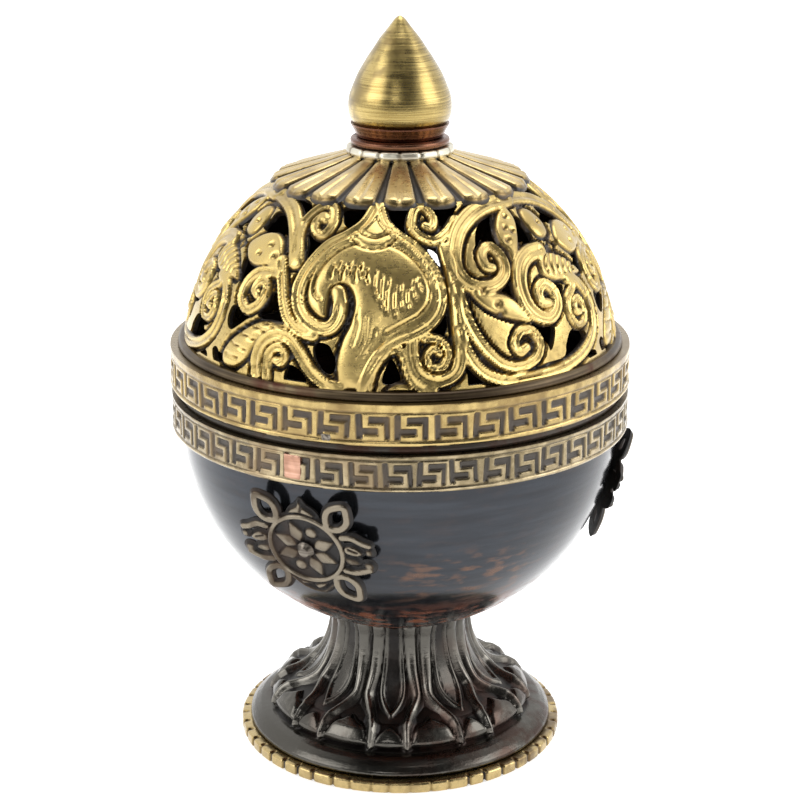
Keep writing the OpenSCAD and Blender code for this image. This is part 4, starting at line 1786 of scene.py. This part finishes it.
def turned_pieces() -> list[TurnedPiece]:
    """Lists the pieces that come straight from the lathe or the spinning chuck.

    Returns:
        The pieces, in the order in which they are built.
    """
    bowl = shell(BOWL_RADIUS, 1.2, BOWL_CENTRE, FOOT_TOP, BOWL_RIM, rows=120)
    pan_low, pan_floor, pan_foot = 26.2, 27.1, 23.9
    pan = np.vstack([
        ball_arc(32.5, BOWL_CENTRE, pan_low, 49, 50),
        rounded([(31.6, 49), (32.3, 49.6), (31.4, 50), (30.6, 49)], 0.4, closed=False),
        ball_arc(31.6, BOWL_CENTRE, 48.9, pan_floor, 40),
        [[AXIS, pan_floor], [AXIS, pan_low], [9.6, pan_low], [9.6, pan_foot], [10.5, pan_foot]],
    ])
    sleeve = rounded([(33.9, 56.5), (34.7, 56.5), (34.7, 61.2), (36.4, 61.2), (36.6, 61.8), (36.4, 62.6),
                      (34.7, 62.6), (34.7, 66.2), (33.9, 66.2)], 0.15, 3)
    seat = rounded([(33.9, SEAT_LOW), (36.3, SEAT_LOW), (36.2, 69.9), (35.75, SEAT_HIGH),
                    (33.9, SEAT_HIGH)], 0.3, 5)
    collar = rounded([(STUD_HOLE, CAP_TOP), (8.4, CAP_TOP), (8.7, 100.2), (8.4, RING_LOW), (7.0, RING_LOW),
                      (STUD_HOLE, RING_LOW)], 0.35, 5)
    ring = rounded([(STUD_HOLE, RING_LOW), (7.4, RING_LOW), (7.95, 101.35), (7.95, 102.0), (7.4, CUP_LOW),
                    (STUD_HOLE, CUP_LOW)], 0.3, 5)
    cup = rounded([(STUD_HOLE, CUP_LOW), (6.8, CUP_LOW), (7.1, 102.8), (7.5, 103.6), (7.85, 104.3),
                   (7.9, BUD_LOW), (STUD_HOLE, BUD_LOW)], 0.3, 5)
    flank = smooth_line([(7.4, BUD_LOW), (8.0, 105.4), (8.25, 107.1), (8.05, 108.8), (7.5, 110.3),
                         (6.8, 112), (5.7, 113.9), (4.4, 115.9), (3.1, 117.8), (1.9, 119.3), (0.9, 120.6),
                         (0.25, 121.1)], steps=9)
    bud = np.vstack([[[STUD_HOLE, BUD_LOW]], flank, [[AXIS, 121.18]]])
    return [
        TurnedPiece("spun_bowl", bowl, Finish.BOWL, "base", "bowl_patina", ("bowl",), 256, 0.05),
        TurnedPiece("ash_pan_spun", pan, Finish.COPPER, "ash_pan_body", "copper", ("ash_pan",), 160, 0.04),
        TurnedPiece("rim_sleeve_spun", sleeve, Finish.LINING, "base", "bowl_patina", ("rim_sleeve",)),
        TurnedPiece("seat_ring_turned", seat, Finish.SHADED_SEAT, "lid", "foot_gunmetal", ("seat_ring",), 256, 0.05),
        TurnedPiece("collar_cast", collar, Finish.COLLAR, "lid", "collar_silver", ("finial_collar",), 400,
                    scallops=16, scallop_depth=0.14, crease=50),
        TurnedPiece("finial_ring_turned", ring, Finish.COPPER, "lid", "copper", ("finial_ring",), 96, 0.05),
        TurnedPiece("finial_cup_turned", cup, Finish.COPPER, "lid", "copper", ("finial_cup",), 96, 0.06),
        TurnedPiece("finial_bud_turned", bud, Finish.BUD, "lid", "bud_brass", ("finial_bud",), 128, 0.03),
    ]


def repaint_hardware() -> None:
    """Gives the CAD nodes that stay their metals."""
    finishes = {
        "foot_bolt": Finish.COPPER, "foot_washer": Finish.STEEL, "foot_nut": Finish.STEEL,
        "plaque_rivets": Finish.RIVET, "finial_stud": Finish.STEEL, "finial_washer": Finish.STEEL,
        "finial_nut": Finish.STEEL,
    }
    for node, finish in finishes.items():
        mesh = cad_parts[node].data
        for slot in range(len(mesh.materials)):
            mesh.materials[slot] = material_of(finish)
        LOG.info("%s: repainted", node)


# === The studio ===


class RoomShader(Shader):
    """The room's node tree while it is being made."""

    def __init__(self, world: bpy.types.World) -> None:
        """Empties the world's tree."""
        self.tree = world.node_tree
        self.tree.nodes.clear()


@dataclass
class Softbox:
    """A square softbox that faces a point of the burner."""

    name: str
    place: Place
    size: float
    power: float
    aim: Place = (0, 0, 0.06)

    def build(self) -> None:
        """Builds the light."""
        light = bpy.data.lights.new(self.name, "AREA")
        light.size = self.size
        light.energy = self.power
        lamp = bpy.data.objects.new(self.name, light)
        lamp.location = self.place
        lamp.rotation_euler = (Vector(self.aim) - Vector(self.place)).to_track_quat("-Z", "Y").to_euler()
        bpy.context.scene.collection.objects.link(lamp)


@dataclass
class Studio:
    """The camera, the pale floor and the lights."""

    lens: float = 89.6
    camera_place: Place = (0, -0.3146, 0.1582)
    camera_dip: float = 0.308
    clip: Point = (0.01, 50)
    floor_half: float = 6.0
    floor_colour: Colour = (0.93, 0.93, 0.93)
    floor_glow: float = 0.6
    front_light: float = 0.09
    strip_half: float = 0.42
    strip_edge: float = 0.78
    back_light: float = 1.15
    back_from: float = -0.25
    back_to: float = 0.35
    boxes: tuple[Softbox, ...] = (
        Softbox("left_box", (-0.75, -0.35, 0.55), 0.6, 2.6),
        Softbox("right_box", (0.8, -0.15, 0.45), 0.55, 2.8),
        Softbox("top_box", (0.05, 0.1, 1.0), 0.7, 4.0),
        Softbox("front_box", (-0.18, -0.95, 0.6), 0.28, 0.7),
    )

    def build(self) -> None:
        """Builds the camera, the floor, the lights and the world."""
        data = bpy.data.cameras.new("camera")
        data.lens = self.lens
        data.clip_start, data.clip_end = self.clip
        camera = bpy.data.objects.new("camera", data)
        camera.location = self.camera_place
        camera.rotation_euler = (math.pi / 2 - self.camera_dip, 0, 0)
        bpy.context.scene.collection.objects.link(camera)
        bpy.context.scene.camera = camera
        half = self.floor_half
        corners = [(-half, -half, 0), (half, -half, 0), (half, half, 0), (-half, half, 0)]
        mesh = bpy.data.meshes.new("floor")
        mesh.from_pydata(corners, [], [(0, 1, 2, 3)])
        floor = bpy.data.objects.new("floor", mesh)
        shader = Shader("floor_white")
        mesh.materials.append(
            shader.surface(Base_Color=(*self.floor_colour, 1.0), Roughness=0.9, Emission_Color=(1, 1, 1, 1),
                           Emission_Strength=self.floor_glow)
        )
        bpy.context.scene.collection.objects.link(floor)
        for box in self.boxes:
            box.build()
        self._light_room()
        bpy.context.scene.view_settings.view_transform = "Standard"

    def _light_room(self) -> None:
        """Lights the room evenly, but for a dim strip in front, where the viewer stands."""
        world = bpy.data.worlds.new("studio")
        world.use_nodes = True
        room = RoomShader(world)
        across, back, _ = room.parts(room.node("ShaderNodeTexCoord", {}, {}).outputs["Generated"])
        sides = (across * across).rise(self.strip_half**2, self.strip_edge**2)
        behind = back.rise(self.back_from, self.back_to)
        lit = sides + behind - sides * behind
        strength = self.front_light + lit * (self.back_light - self.front_light)
        light = room.node("ShaderNodeBackground", {}, {"Color": (1, 1, 1, 1), "Strength": strength})
        room.node("ShaderNodeOutputWorld", {}, {"Surface": light.outputs[0]})
        bpy.context.scene.world = world


def main() -> None:
    """Builds the burner and its studio; each piece logs its face count."""
    logging.basicConfig(level=logging.INFO, format="%(message)s")
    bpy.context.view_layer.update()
    BaseRing().build()
    Pedestal().build()
    for piece in turned_pieces():
        piece.build()
    for index in range(PLAQUES):
        WheelPlaque(index + 1, FIRST_PLAQUE + 360 / PLAQUES * index).build()
    KeyBand(
        "bowl_band_stamped", Finish.BOWL_BAND, "base", "pale_brass", "bowl_band", keys=46, low=55.6,
        high=61.2, inner=35.95, field_low=56.4, field_high=60.4, wave=0.12, seed=5, start=3.0,
    ).build()
    KeyBand(
        "lid_band_stamped", Finish.LID_BAND, "lid", "gold_brass", "lid_band", keys=40, low=62.8,
        high=SEAT_LOW, inner=35.1, field_low=63.7, field_high=67.8, wave=0.06, seed=6, start=-2.0,
    ).build()
    SolderJoint(
        "bowl_band_solder", "bowl_band_joint", "base", "copper", Finish.SOLDER, azimuth=-25.5, width=4.6,
        low=56.4, high=60.4,
    ).build()
    SolderJoint(
        "lid_band_solder", "lid_band_joint", "lid", "steel", Finish.RIVET, azimuth=-17, width=2.4,
        low=63.1, high=64.3,
    ).build()
    PiercedDome().build()
    PetalCap().build()
    repaint_hardware()
    Studio().build()


if __name__ == "__main__":
    main()
